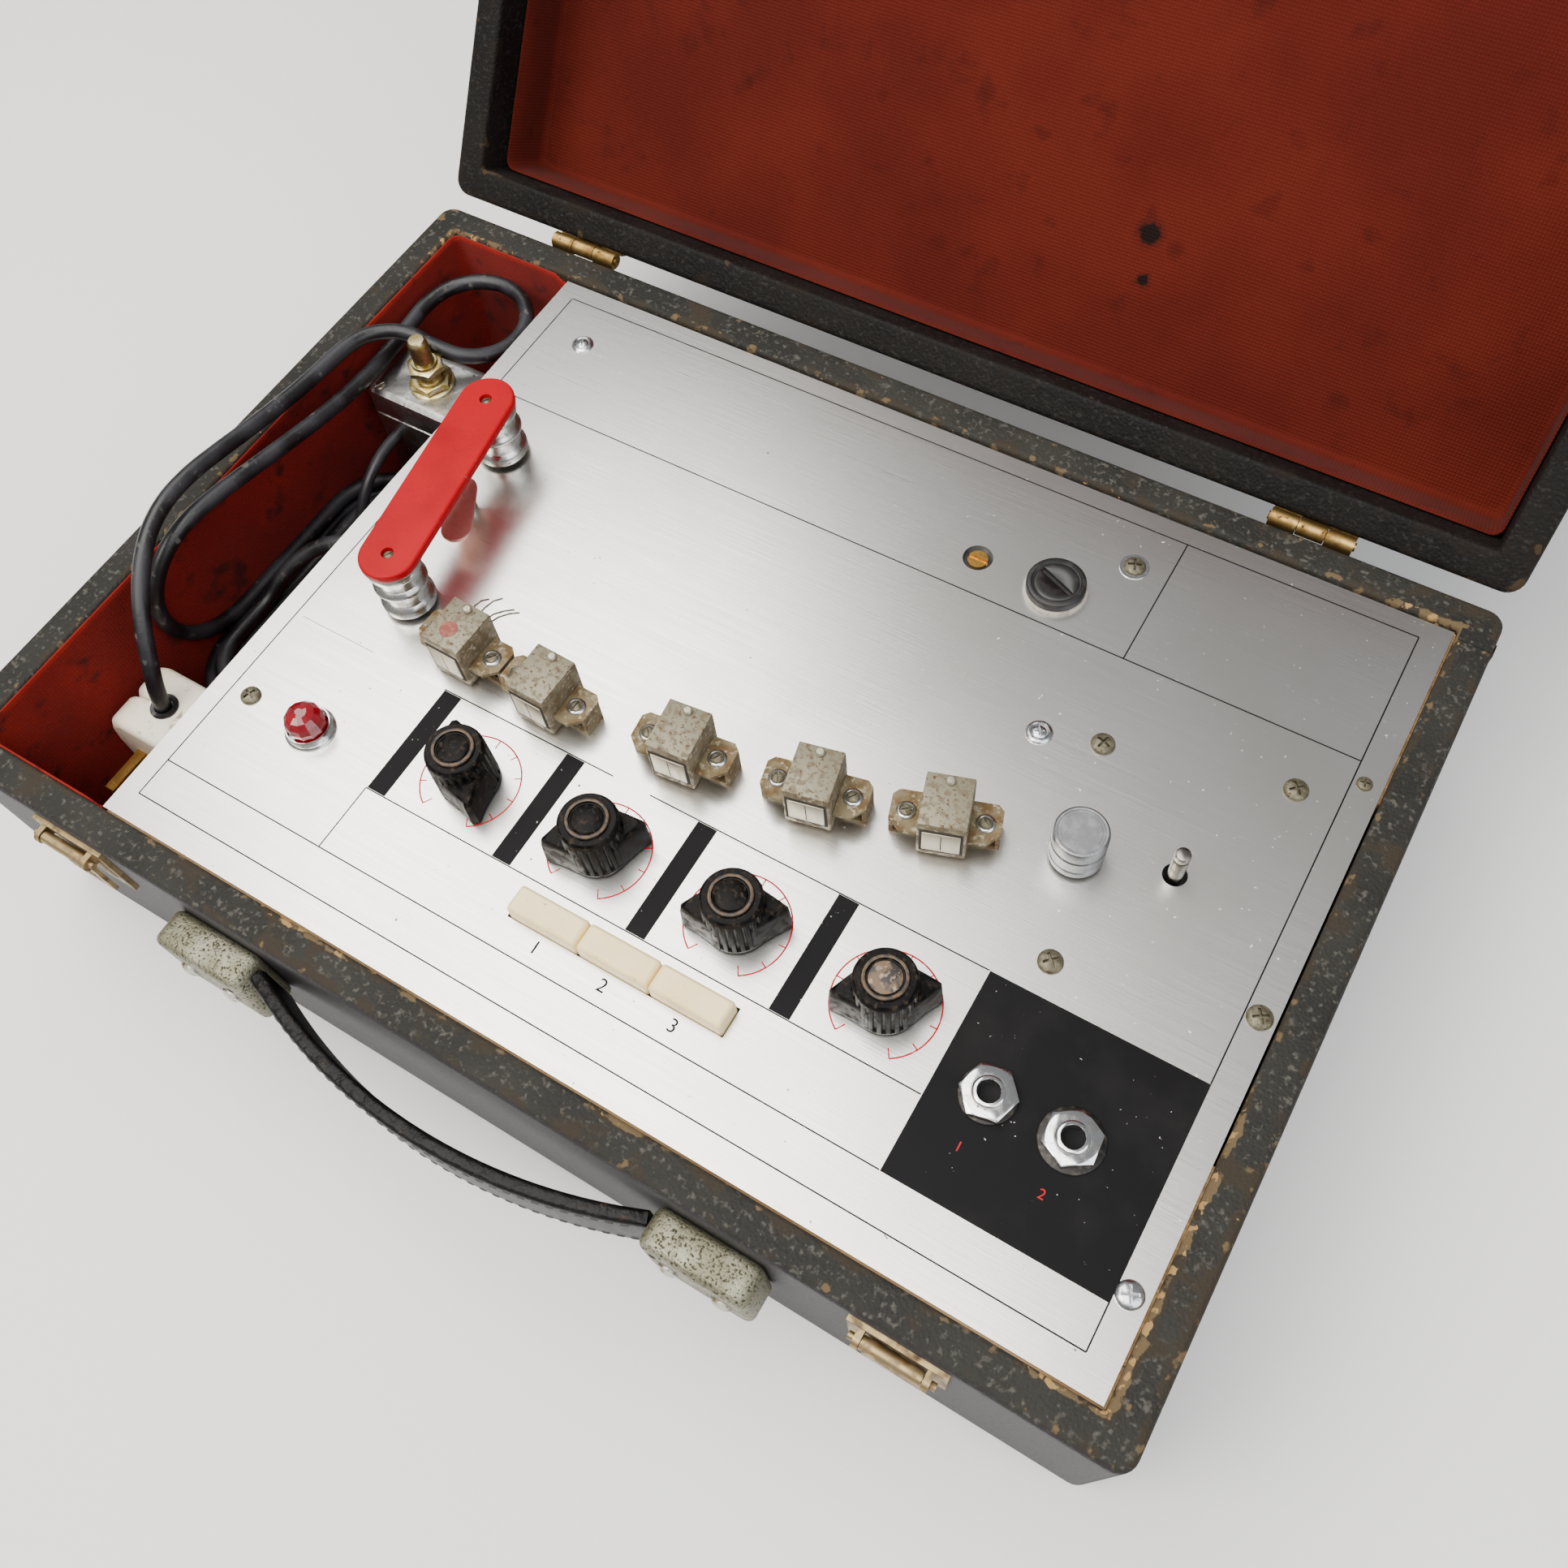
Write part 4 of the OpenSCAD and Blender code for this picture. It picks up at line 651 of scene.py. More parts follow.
# Lid ----------------------------------------------------------------------------------------
# A shallow tray of the same boards and leathercloth, hinged at the back, open at 125 degrees.
# The covering turns 15 mm down inside the rim.
lid_low, lid_high, lid_turn = 92.4, 137.4, -125
hinge_y, hinge_z = 148, 92
lid_board = 6
lid_hinge = Vector((0, hinge_y, hinge_z)) * mm
lid_pose = (Matrix.Translation(lid_hinge) @ turned_by(lid_turn, "X")
            @ Matrix.Translation(-lid_hinge))
lid_inside = lid_high - lid_board


def flipped(arc, middle):
    """An arris turned upside down about a height, and less worn."""
    return [(offset, 2 * middle - height, worn * 0.6) for offset, height, worn in arc]


rim_inside, rim_outside = lid_low + 1.4, lid_low + rim_radius
lid_section = [(30, lid_inside, 0), (wall, lid_inside, 0), (wall, 118, 0),
               (wall, lid_low + 15, 0.1), (wall, lid_low + 5, 0.3),
               *flipped(quarter((wall - 1.4, rim_inside), 1.4, 180, 90), rim_inside),
               (8, lid_low, 0.2), (4, lid_low, 0.2),
               *flipped(quarter((rim_radius, rim_outside), rim_radius, 90, 0), rim_outside),
               (0, 99, 0), (0, 128, 0), *quarter((3, lid_high - 3), 3, 0, 90),
               (8, lid_high, 0.1), (30, lid_high, 0)]
# Painted shade: the lid's covering is the same leathercloth as the case, painted darker all over
# because the lid stands in shade
lid_leathercloth_painted_shade = make_leathercloth("grained_leathercloth_lid", "#12100F", "#181614", "#2A2724",
                                     "#1D1814", "#3A2F22", "#665238")
lid_build = loft_walls(lid_section, case_width, case_depth, corner_radius, closed=False,
                       lid=lid_pose)
lid_shell = show("lid_covered_tray", lid_build, [lid_leathercloth_painted_shade], 50)
join_in(lid_shell, "lid", "covered_board", "lid_side_boards", "lid_front_back_boards", "lid_top")

# Lid lining ---------------------------------------------------------------------------------
# The same red cotton, glued to the inside of the lid and turned up its walls, with two small
# dark burns near its middle.

# The same cotton, painted a deeper red for the shade inside the lid (painted shade), with less
# fuzz
lid_cloth_painted_shade = start_finish("woven_red_cotton_lid", "#4C1209", 0.85, Specular_IOR_Level=0.12,
                         Sheen_Weight=0.02, Sheen_Roughness=0.5)
spot(lid_cloth_painted_shade, "#57190D", 0.05, 0.38, 0.65)
spot(lid_cloth_painted_shade, "#3C0D06", 0.012, 0.6, 0.8)
threads = woven(lid_cloth_painted_shade, 0.0012, 0.0002)
# Painted shade in the gaps between the threads
shade_gaps(lid_cloth_painted_shade, threads, 0.55, 0.25, "#330B05")
# Burns on the cloth: (x, y, radius)
burns = [(54.4, 81.5, 4.2), (57.7, 97.0, 2.4)]
tree = lid_cloth_painted_shade.node_tree
place = add_node(tree, "ShaderNodeTexCoord").outputs["UV"]
ragged = add_node(tree, "ShaderNodeTexNoise", {"Scale": 400.0, "Detail": 3.0}, {"Vector": place})
for x, y, radius in burns:
    far = add_node(tree, "ShaderNodeVectorMath",
                   {"operation": "DISTANCE", 1: (x * mm, y * mm, 0)}, {0: place}).outputs["Value"]
    far = add_node(tree, "ShaderNodeMath", {"operation": "MULTIPLY_ADD", 1: 0.004},
                   {0: ragged.outputs["Fac"], 2: far}).outputs[0]
    for edge, soft, colour in ((1.5, 0.8, "#34100A"), (1.0, 0.3, "#150A08")):
        ring = add_node(tree, "ShaderNodeMapRange",
                        {"From Min": (radius * edge + 2) * mm,
                         "From Max": (radius * edge * (1 - soft) + 2) * mm},
                        {"Value": far}).outputs[0]
        lay_over(lid_cloth_painted_shade, ring, colour)
build = bmesh.new()
lining_wide, lining_deep = case_width - 2 * wall - 1.6, case_depth - 2 * wall - 1.6
floor_z = lid_inside - lining_thick
levels = [(lid_low + 15, 0), (lid_low + 15.6, 0.4), (116, 0.4), (126, 0.4), (floor_z - 2.4, 0.5),
          (floor_z - 0.7, 1.2), (floor_z, 3.0)]
rings = [[build.verts.new((x * mm, y * mm, height * mm)) for x, y in
          corner_ring(lining_wide - 2 * offset, lining_deep - 2 * offset, 3.5, along=30)]
         for height, offset in levels]
join_rings(build, rings)
build.faces.new(rings[-1])
bmesh.ops.recalc_face_normals(build, faces=build.faces)
if max(build.faces, key=lambda f: f.calc_area()).normal.z > 0:
    bmesh.ops.reverse_faces(build, faces=build.faces)
map_flat(build)
bmesh.ops.transform(build, matrix=lid_pose, verts=build.verts)
lid_lining_mesh = bpy.data.meshes.new("lid_red_lining")
build.to_mesh(lid_lining_mesh)
build.free()
lid_lining = thicken(show("lid_red_lining", lid_lining_mesh, [lid_cloth_painted_shade], 60), 0.4 * mm)
join_in(lid_lining, "lid", "red_cloth", "lid_lining")

# Hinges -------------------------------------------------------------------------------------
# Two pressed brass butt hinges with steel pins, screwed to the back of the case and the lid.
# The brass has gone brown, and is bright only on its knuckles.

# Rolled brass, pressed: warm and half matt, brown where it has tarnished
hinge_brass = start_finish("pressed_brass_hinge", "#A98C55", 0.4, Metallic=1.0)
spot(hinge_brass, "#7D6236", 0.005, 0.42, 0.6, rough=0.5)
spot(hinge_brass, "#5A4128", 0.0018, 0.58, 0.7, rough=0.7)
paint_node(hinge_brass, "hinge_case_leaves", "hinge_lid_leaves")


def rest_on_points(name, pattern, places, finish, body, slot_name):
    """Repeats a small mesh at each place: (matrix, size). A node tree sets, sizes and joins it."""
    points = bpy.data.meshes.new(name)
    points.from_pydata([place.to_translation() for place, size in places], [], [])
    points.attributes.new("turn", "FLOAT_VECTOR", "POINT")
    points.attributes.new("size", "FLOAT", "POINT")
    for i, (place, size) in enumerate(places):
        points.attributes["turn"].data[i].vector = place.to_euler()
        points.attributes["size"].data[i].value = size
    piece = bpy.data.objects.new(name, points)
    bpy.context.scene.collection.objects.link(piece)
    tree = bpy.data.node_groups.new(name + "_layout", "GeometryNodeTree")
    sockets = tree.interface
    sockets.new_socket("Geometry", in_out="INPUT", socket_type="NodeSocketGeometry")
    sockets.new_socket("Pattern", in_out="INPUT", socket_type="NodeSocketObject")
    sockets.new_socket("Size", in_out="INPUT", socket_type="NodeSocketFloat")
    sockets.new_socket("Finish", in_out="INPUT", socket_type="NodeSocketMaterial")
    sockets.new_socket("Geometry", in_out="OUTPUT", socket_type="NodeSocketGeometry")
    given = add_node(tree, "NodeGroupInput").outputs
    shape = add_node(tree, "GeometryNodeObjectInfo", {"As Instance": True},
                     {"Object": given["Pattern"]})
    turned = add_node(tree, "GeometryNodeInputNamedAttribute",
                      {"data_type": "FLOAT_VECTOR", "Name": "turn"}).outputs["Attribute"]
    sized = add_node(tree, "GeometryNodeInputNamedAttribute",
                     {"data_type": "FLOAT", "Name": "size"}).outputs["Attribute"]
    sized = add_node(tree, "ShaderNodeMath", {"operation": "MULTIPLY"},
                     {0: sized, 1: given["Size"]})
    turned = add_node(tree, "FunctionNodeEulerToRotation", None, {"Euler": turned})
    laid = add_node(tree, "GeometryNodeInstanceOnPoints", None,
                    {"Points": given["Geometry"], "Instance": shape.outputs["Geometry"],
                     "Rotation": turned.outputs[0], "Scale": sized.outputs[0]})
    real = add_node(tree, "GeometryNodeRealizeInstances", None, {"Geometry": laid.outputs[0]})
    dressed = add_node(tree, "GeometryNodeSetMaterial", None,
                       {"Geometry": real.outputs[0], "Material": given["Finish"]})
    add_node(tree, "NodeGroupOutput", None, {"Geometry": dressed.outputs[0]})
    layout = piece.modifiers.new("layout", "NODES")
    layout.node_group = tree
    values = {"Pattern": pattern, "Size": 1.0, "Finish": finish}
    for socket in tree.interface.items_tree:
        if socket.name in values and socket.in_out == "INPUT":
            layout[socket.identifier] = values[socket.name]
    flatten(piece)
    piece.data.shade_smooth()
    piece.data.set_sharp_from_angle(angle=radians(40))
    join_in(piece, body, slot_name)
    return piece


def pattern_of(build, name):
    """A small mesh kept out of sight, to be repeated by a node tree."""
    pattern = bpy.data.objects.new(name, to_mesh(build, name))
    bpy.context.scene.collection.objects.link(pattern)
    pattern.hide_render = True
    return pattern


def slotted_head(name, rise, slot_wide=0.13, slot_deep=0.16, cross=False, sides=20):
    """A screw's head 1 across: domed by rise, with a slot or a cross cut in it."""
    build = bmesh.new()
    profile = [(0, -0.06), (0.5, -0.06), (0.5, 0.02)]
    profile += [(0.5 * cos(radians(a)), 0.02 + rise * sin(radians(a)))
                for a in (15, 30, 45, 60, 75)]
    add_lathe(build, profile + [(0, 0.02 + rise)], sides=sides, unit=1)
    head = show(name, build, [])
    build = bmesh.new()
    arms = [(0.62, slot_wide), (slot_wide, 0.62)] if cross else [(1.2, slot_wide)]
    for wide, deep in arms:
        add_prism(build, rectangle(wide, deep), 0.02 + rise - slot_deep, 1, unit=1)
    cutter = show(name + "_cut", build, [])
    cut = head.modifiers.new("slot", "BOOLEAN")
    cut.object = cutter
    cut.solver = "EXACT"
    cut.use_self = True
    flatten(head)
    bpy.data.objects.remove(cutter)
    head.hide_render = True
    return head


flat_slotted = slotted_head("flat_slotted_head", 0.05, slot_deep=0.06)
hinge_x, leaf_face = 149, 146.25
hinge_screws = []
for side in (-1, 1):
    for across, down in ((-9, 5.5), (0, 11.5), (9, 5.5)):
        upright_back = turned_by(-90, "X") @ Matrix.Rotation(across * 0.3, 4, "Z")
        hinge_screws.append((at(side * hinge_x + across, leaf_face, hinge_z - 3 - down)
                             @ upright_back, 4.2 * mm))
rest_on_points("hinge_case_screws", flat_slotted, hinge_screws, hinge_brass, "case",
               "hinge_brass")
lid_screws = []
for place, size in hinge_screws:
    high = place.copy()
    high.translation.z = 2 * hinge_z * mm - place.translation.z
    lid_screws.append((lid_pose @ high, size))
rest_on_points("hinge_lid_screws", flat_slotted, lid_screws, hinge_brass, "lid",
               "hinge_brass")

# Catches ------------------------------------------------------------------------------------
# Pressed brass-plated steel: a plate with two ears and a pin on the case, a hooked lever, and a
# strike on the lid. The plating is worn through, and the steel under it has rusted.

# Brass plating on pressed steel: dull yellow, rusty where it has worn through
catch_plate = start_finish("worn_brass_plate", "#A48E66", 0.42, Metallic=1.0)
spot(catch_plate, "#85775A", 0.006, 0.4, 0.7, rough=0.55)
spot(catch_plate, "#5C4732", 0.004, 0.5, 0.74, rough=0.85, metal=0.3, seed=3)
paint_node(catch_plate, "catch_plates", "catch_lever_left", "catch_lever_right", "catch_strikes")
front_face = turned_by(90, "X")
catch_x, catch_face, catch_screw_z = 152, -146.5, 67
catch_places = [(at(side * catch_x + across, catch_face, catch_screw_z) @ front_face
                 @ Matrix.Rotation(across, 4, "Z"), 4.4 * mm)
                for side in (-1, 1) for across in (-11, 11)]
rest_on_points("catch_plate_screws", flat_slotted, catch_places, screw_plate, "case",
               "catch_brass")

# Handle -------------------------------------------------------------------------------------
# A black leather strap, stitched round its edge and bowed off the case, held at each end in a
# cast metal cap with two screws.
handle_height, strap_reach, strap_bow = 61, 75, 15
strap_wide, strap_thick, strap_gap = 26, 5, 2.5
arc_radius = (strap_reach ** 2 + strap_bow ** 2) / (2 * strap_bow)
arc_half = asin(strap_reach / arc_radius)
arc_centre_y = -case_depth / 2 - strap_gap - strap_thick - strap_bow + arc_radius


def on_strap(share, depth, height):
    """A point of the strap: share runs from -1 to 1, depth from its outer face inwards."""
    turn = arc_half * share
    reach = arc_radius - depth
    return Vector((reach * sin(turn), arc_centre_y - reach * cos(turn), handle_height
                   + height)) * mm


half, thick, round_in = strap_wide / 2, strap_thick, 1.7
strap_section = []
for cd, ch, start in ((round_in, half - round_in, 180), (thick - round_in, half - round_in, 90),
                      (thick - round_in, round_in - half, 0), (round_in, round_in - half, -90)):
    for i in range(5):
        turn = radians(start - 90 * i / 4)
        strap_section.append((cd + round_in * cos(turn), ch + round_in * sin(turn)))
strap_section.insert(15, (thick - 0.2, 0))
strap_section.append((0, 0))
build = bmesh.new()
rings = [[build.verts.new(on_strap(i / 40 - 1, max(d, 0), h)) for d, h in strap_section]
         for i in range(81)]
join_rings(build, rings)
build.faces.new(rings[0][::-1])
build.faces.new(rings[-1])
# Strap leather: polished black, creased across where it bends, scuffed brown at its edges
strap_leather = start_finish("polished_black_leather", "#0B0A0A", 0.42,
                             Specular_IOR_Level=0.18)
spot(strap_leather, "#161312", 0.012, 0.5, 0.7, rough=0.4)
spot(strap_leather, "#3A2E25", 0.004, 0.66, 0.74, rough=0.6)
raise_grain(strap_leather, patches(strap_leather, 0.0014, 0.35, 0.65), 0.00008)
raise_grain(strap_leather, patches(strap_leather, 0.006, 0.4, 0.6, stretch=(1, 1, 0.15)), 0.00025)
strap = show("handle_leather_strap", build, [strap_leather], 50)
join_in(strap, "case", "strap_leather", "handle_strap")

# Waxed black thread in the strap's two rows of stitches, 4 mm apart
waxed_thread = start_finish("waxed_black_thread", "#2B2624", 0.5)
build = bmesh.new()
stitch = [(0, -0.5), (0.12, -0.42), (0.15, -0.2), (0.15, 0.2), (0.12, 0.42), (0, 0.5)]
add_lathe(build, stitch, turned_by(90, "Y"), sides=8, unit=1)
stitch_pattern = pattern_of(build, "stitch_pattern")
stitches = []
stitch_count = 34
for height in (-half + 3, half - 3):
    for i in range(stitch_count):
        share = (i + 0.5) / stitch_count * 2 - 1
        if abs(share) < 0.93:
            place = Matrix.Translation(on_strap(share, 0.08, height)) @ Matrix.Rotation(
                arc_half * share, 4, "Z")
            stitches.append((place, 2.9 * mm))
rest_on_points("handle_stitches", stitch_pattern, stitches, waxed_thread, "case",
               "strap_leather")

# Handle caps: cast zinc, plated and pitted, with a pin across each for the strap
cap_metal = start_finish("pitted_cast_zinc", "#77745F", 0.5, Metallic=0.7)
spot(cap_metal, "#8F8C7A", 0.012, 0.45, 0.65, rough=0.45)
spot(cap_metal, "#45422F", 0.0009, 0.54, 0.64, rough=0.8, seed=7)
raise_grain(cap_metal, patches(cap_metal, 0.0009, 0.4, 0.62, seed=7), -0.00008)
cap_long, cap_high, cap_out = 36, 32, 13
build = bmesh.new()
for side in (-1, 1):
    cap_middle = side * (strap_reach + cap_long / 2)
    cap = at(cap_middle, -case_depth / 2 - cap_out, handle_height) @ turned_by(-90, "X")
    outline = corner_ring(cap_long, cap_high, 4, along=1, around=6)
    add_prism(build, outline, 0.02, cap_out, cap, bevel=2.6, steps=4, sharp=60)
caps = show("handle_cast_caps", build, [cap_metal], 30)
join_in(caps, "case", "cap_metal", "handle_caps")
build = bmesh.new()
for side in (-1, 1):
    x = side * (strap_reach + 5)
    add_lathe(build, [(0, -0.5), (1.5, -0.5), (1.5, 0.2), (0.9, 0.6),
                      (0, 0.7)], at(x, -case_depth / 2 - cap_out + 0.3, handle_height + 9)
              @ front_face, sides=24)
cap_pins = show("handle_cap_pins", build, [foot_rubber])
join_in(cap_pins, "case", "cap_metal")


# Panel --------------------------------------------------------------------------------------
# A plate of satin aluminium, 1.6 mm thick, brushed from side to side and lacquered, screwed
# down on battens. It carries every control.

# Aluminium, brushed along X and lacquered: it mirrors softly, drawn out across the lines,
# which are drawn coarser than the real 0.1 mm
panel_aluminium = start_finish("satin_brushed_aluminium", "#EDECE8", 0.27, Metallic=1.0,
                               Anisotropic=0.3)
spot(panel_aluminium, "#E2E1DC", 0.0007, 0.3, 0.7, rough=0.32, stretch=(0.02, 1, 1))
spot(panel_aluminium, "#DEDCD5", 0.06, 0.45, 0.7, rough=0.3, seed=4)
spot(panel_aluminium, "#F0EFEA", 0.0016, 0.7, 0.74, rough=0.55, seed=9)
spot(panel_aluminium, "#77726A", 0.0022, 0.735, 0.77, rough=0.6, metal=0.4, seed=5)
raise_grain(panel_aluminium, patches(panel_aluminium, 0.0005, 0.3, 0.7, stretch=(0.015, 1, 1)),
            0.000008)
paint_node(panel_aluminium, "panel_plate")
panel_frame = at(-140, -122.8, 90)


def on_panel(x, y, z=0.0, turn=0.0):
    """A place on the panel: millimetres from its printed border's corner, and degrees."""
    return panel_frame @ at(x, y, z) @ turned_by(turn, "Z")


# Panel print --------------------------------------------------------------------------------
# Screen-printed ink, a few hundredths thick: a fine border and rules, four broad bars between
# the controls, a black field round the sockets, red dials and plain numbers.

# Screen ink: flat black, thin, with pinholes and dust
ink_black = start_finish("screen_ink_black", "#100F10", 0.5, Specular_IOR_Level=0.1)
spot(ink_black, "#1A1919", 0.02, 0.5, 0.75, rough=0.6)
spot(ink_black, "#C9C7C0", 0.0016, 0.73, 0.75, rough=0.6, seed=2)
# The same ink in red, paler where it has rubbed
ink_red = start_finish("screen_ink_red", "#B40717", 0.5, Specular_IOR_Level=0.2)
spot(ink_red, "#DB8F90", 0.002, 0.6, 0.72, rough=0.5)
ink_low, ink_high, rule = 0.004, 0.03, 0.45
build = bmesh.new()


def print_field(x0, y0, x1, y1):
    add_prism(build, [(x0, y0), (x1, y0), (x1, y1), (x0, y1)], ink_low, ink_high, panel_frame)


def print_rule(x0, y0, x1, y1, wide=rule):
    """A printed line from one point to another, along X or along Y."""
    across = (0, wide / 2) if y0 == y1 else (wide / 2, 0)
    print_field(x0 - across[0], y0 - across[1], x1 + across[0], y1 + across[1])


def print_arc(x, y, radius, start, end, wide, steps=40):
    """A red printed arc from one turn to another, in degrees."""
    turns = [radians(start + (end - start) * i / steps) for i in range(steps + 1)]
    points = [((radius + wide / 2) * cos(t), (radius + wide / 2) * sin(t)) for t in turns]
    points += [((radius - wide / 2) * cos(t), (radius - wide / 2) * sin(t)) for t in turns[::-1]]
    add_prism(build, points, ink_low, ink_high, on_panel(x, y), slot=1)


border_wide, border_deep = 334, 248
for x0, y0, x1, y1 in ((0, 0, border_wide, 0), (0, border_deep, border_wide, border_deep),
                       (0, 0, 0, border_deep), (border_wide, 0, border_wide, 13.9),
                       (border_wide, 80.1, border_wide, border_deep), (0, 14, 266, 14),
                       (64.9, 14, 64.9, 38), (64.9, 38, 266, 38), (64.9, 80, 133, 80),
                       (147, 80, 266, 80), (0, 196.3, border_wide, 196.3),
                       (255.1, 196.3, 255.1, border_deep)):
    print_rule(x0, y0, x1, y1)
print_rule(3, 80, 34, 80, 0.2)
for left in (65.2, 115.2, 165.4, 215.9):
    print_field(left, 38.3, left + 7, 79.7)
print_field(266.3, 13.8, 334.2, 80)
knob_start, knob_pitch, knob_row, dial_radius = 93.4, 50.4, 56.5, 16.5
for i in range(4):
    x = knob_start + i * knob_pitch
    print_arc(x, knob_row, dial_radius, -58, 238, 0.5)
    for k in range(11):
        turn = radians(-58 + 29.6 * k)
        middle = dial_radius - (1.2 if k % 5 else 1.6)
        add_prism(build, rectangle(3.2 if k % 5 == 0 else 2.2, 0.4), ink_low, ink_high,
                  on_panel(x + middle * cos(turn), knob_row + middle * sin(turn), 0,
                           turn * 180 / pi), slot=1)
panel_print = show("panel_print", build, [ink_black, ink_red], 0)
join_in(panel_print, "case", "panel_aluminium")
for name, number, x, y, size, finish in (("key_number_1", "1", 145, 20, 6.2, ink_black),
                                         ("key_number_2", "2", 169.5, 20, 6.2, ink_black),
                                         ("key_number_3", "3", 194.4, 20, 6.2, ink_black),
                                         ("socket_number_1", "1", 281.8, 30.2, 4.2, ink_red),
                                         ("socket_number_2", "2", 307, 29.9, 4.2, ink_red)):
    text = bpy.data.curves.new(name, "FONT")
    text.body, text.size, text.align_x, text.align_y = number, size * mm, "CENTER", "CENTER"
    text.extrude = 0.01 * mm
    holder = bpy.data.objects.new(name, text)
    mesh = bpy.data.meshes.new_from_object(holder)
    bpy.data.objects.remove(holder)
    mesh.transform(on_panel(x, y, ink_high + 0.02))
    mesh.materials.clear()
    number_piece = show(name, mesh, [finish], 0)
    join_in(number_piece, "case", "panel_aluminium")

# Panel screws -------------------------------------------------------------------------------
# Raised heads of 3 mm screws: bronzed ones over the motor and at the battens, bright cross ones
# in cup washers, and small slotted ones on the brackets and the bridge.

# Bronzed steel: olive brown and half matt, with dark dirt in its pits
bronzed_steel = start_finish("bronzed_steel", "#5E5846", 0.5, Metallic=0.7)
spot(bronzed_steel, "#77735F", 0.0016, rough=0.55)
spot(bronzed_steel, "#4A3A28", 0.0011, 0.58, 0.7, rough=0.7, seed=6)
# Bright zinc plating: pale, cool and glossy
bright_screw = start_finish("bright_zinc_screw", "#C4C6C8", 0.22, Metallic=1.0)
spot(bright_screw, "#9FA1A0", 0.0012, 0.5, 0.65, rough=0.4)
domed_cross = slotted_head("domed_cross_head", 0.2, 0.11, 0.17, cross=True, sides=28)
domed_slotted = slotted_head("domed_slotted_head", 0.2, 0.12, 0.14, sides=28)
# Each tape head's place on the panel and its turn in degrees
heads = [(65.9, 93.8, -2), (101, 92, -2), (150.7, 96, 6), (194.5, 103.1, 12.5),
         (233.8, 113.4, 18)]
ear_reach, ear_height, head_lift = 12, 10, 0.3
roller_places = ((32.7, 103.3), (21.7, 172.7))
motor_screws = [(262.8, 164.1), (320.5, 177.3), (280.1, 90.9), (338.3, 104.4)]
# Screws in cup washers: (x, y, washer's width)
cups = [(17.6, 229.6, 8.3), (243.6, 158.5, 8.7)]
brown = [(on_panel(x, y, head_lift, 40 * x), 7.8 * mm) for x, y in motor_screws]
brown += [(on_panel(243.3, 231.2, head_lift, 20), 7.5 * mm),
          (on_panel(8.3, 46.3, head_lift, 70), 7 * mm), (on_panel(337.6, 189.1, 0.2, 10), 5 * mm)]
brown_screws = rest_on_points("panel_bronzed_screws", domed_cross, brown, bronzed_steel, "case",
                              "bronzed_screws")
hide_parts("panel_screws")
bright = [(on_panel(x, y, head_lift, 30), 5.4 * mm) for x, y, size in cups]
bright += [(on_panel(337.8, 18.2, head_lift, 25), 8 * mm)]
rest_on_points("panel_bright_screws", domed_cross, bright, bright_screw, "case", "plated_screws")
small = []
for x, y, turn in heads:
    for side in (-1, 1):
        small.append((on_panel(x, y, ear_height, turn) @ at(side * ear_reach, 0, head_lift)
                      @ Matrix.Rotation(x + side, 4, "Z"), 4.2 * mm))
small += [(on_panel(x, y, 25.6, 60), 3.4 * mm) for x, y in roller_places]
rest_on_points("deck_slotted_screws", domed_slotted, small, bronzed_steel, "case",
               "bronzed_screws")
# Cup and flat washers under the heads
build = bmesh.new()
cup = [(0.30, 0), (0.5, 0), (0.5, 0.04), (0.44, 0.10), (0.38, 0.12), (0.33, 0.08), (0.30, 0)]
for x, y, size in cups:
    add_lathe(build, [(r * size, h * size) for r, h in cup], on_panel(x, y), sides=40)
for x, y, turn in heads:
    for side in (-1, 1):
        add_lathe(build, [(r * 6.2, h * 6.2) for r, h in cup], on_panel(x, y, ear_height, turn)
                  @ at(side * ear_reach, 0, 0), sides=32)
add_lathe(build, [(2, 0), (5, 0), (5, 0.35), (2, 0.35), (2, 0)], on_panel(243.3, 231.2), sides=40)
washers = show("panel_screw_washers", build, [bright_screw], 40)
join_in(washers, "case", "plated_screws")


# Jack sockets -------------------------------------------------------------------------------
# Two 6.35 mm sockets: a chromed sleeve with a chamfered hexagon nut over a dark washer, and a
# moulded body under the panel.
def add_rings(build, rings, place=Matrix.Identity(4), ends=True):
    """Joins rings of points, each with the same count, into a skin; ends are closed flat."""
    rows = [[build.verts.new([c * mm for c in p]) for p in ring] for ring in rings]
    join_rings(build, rows)
    if ends:
        build.faces.new(rows[0][::-1])
        build.faces.new(rows[-1])
    bmesh.ops.transform(build, matrix=place, verts=[v for row in rows for v in row])


def ring_of(radius, height, sides):
    """A ring of points; radius and height may depend on the turn."""
    ring = []
    for k in range(sides):
        t = 2 * pi * k / sides
        r = radius(t) if callable(radius) else radius
        z = height(t) if callable(height) else height
        ring.append((r * cos(t), r * sin(t), z))
    return ring


def add_nut(build, across, bore, low, high, place):
    """A hexagon nut with its top corners turned down to a 30 degree chamfer."""
    flat = across / 2

    def edge(t):
        return flat / cos((t % (pi / 3)) - pi / 6)

    def drop(t):
        return high - 0.577 * (edge(t) - flat * 0.95)
    sides = 72
    add_rings(build, [ring_of(bore / 2, low, sides), ring_of(edge, low, sides),
                      ring_of(edge, drop, sides), ring_of(flat * 0.95, high, sides),
                      ring_of(bore / 2, high, sides), ring_of(bore / 2, low, sides)], place,
              ends=False)


# Chrome on nickel, polished: a clear mirror with a few pits
bright_chrome = start_finish("bright_chrome", "#D6D7D8", 0.12, Metallic=1.0)
spot(bright_chrome, "#C2C1BD", 0.003, 0.45, 0.65, rough=0.24)
spot(bright_chrome, "#6B5F4F", 0.0013, 0.64, 0.72, rough=0.6, seed=8)
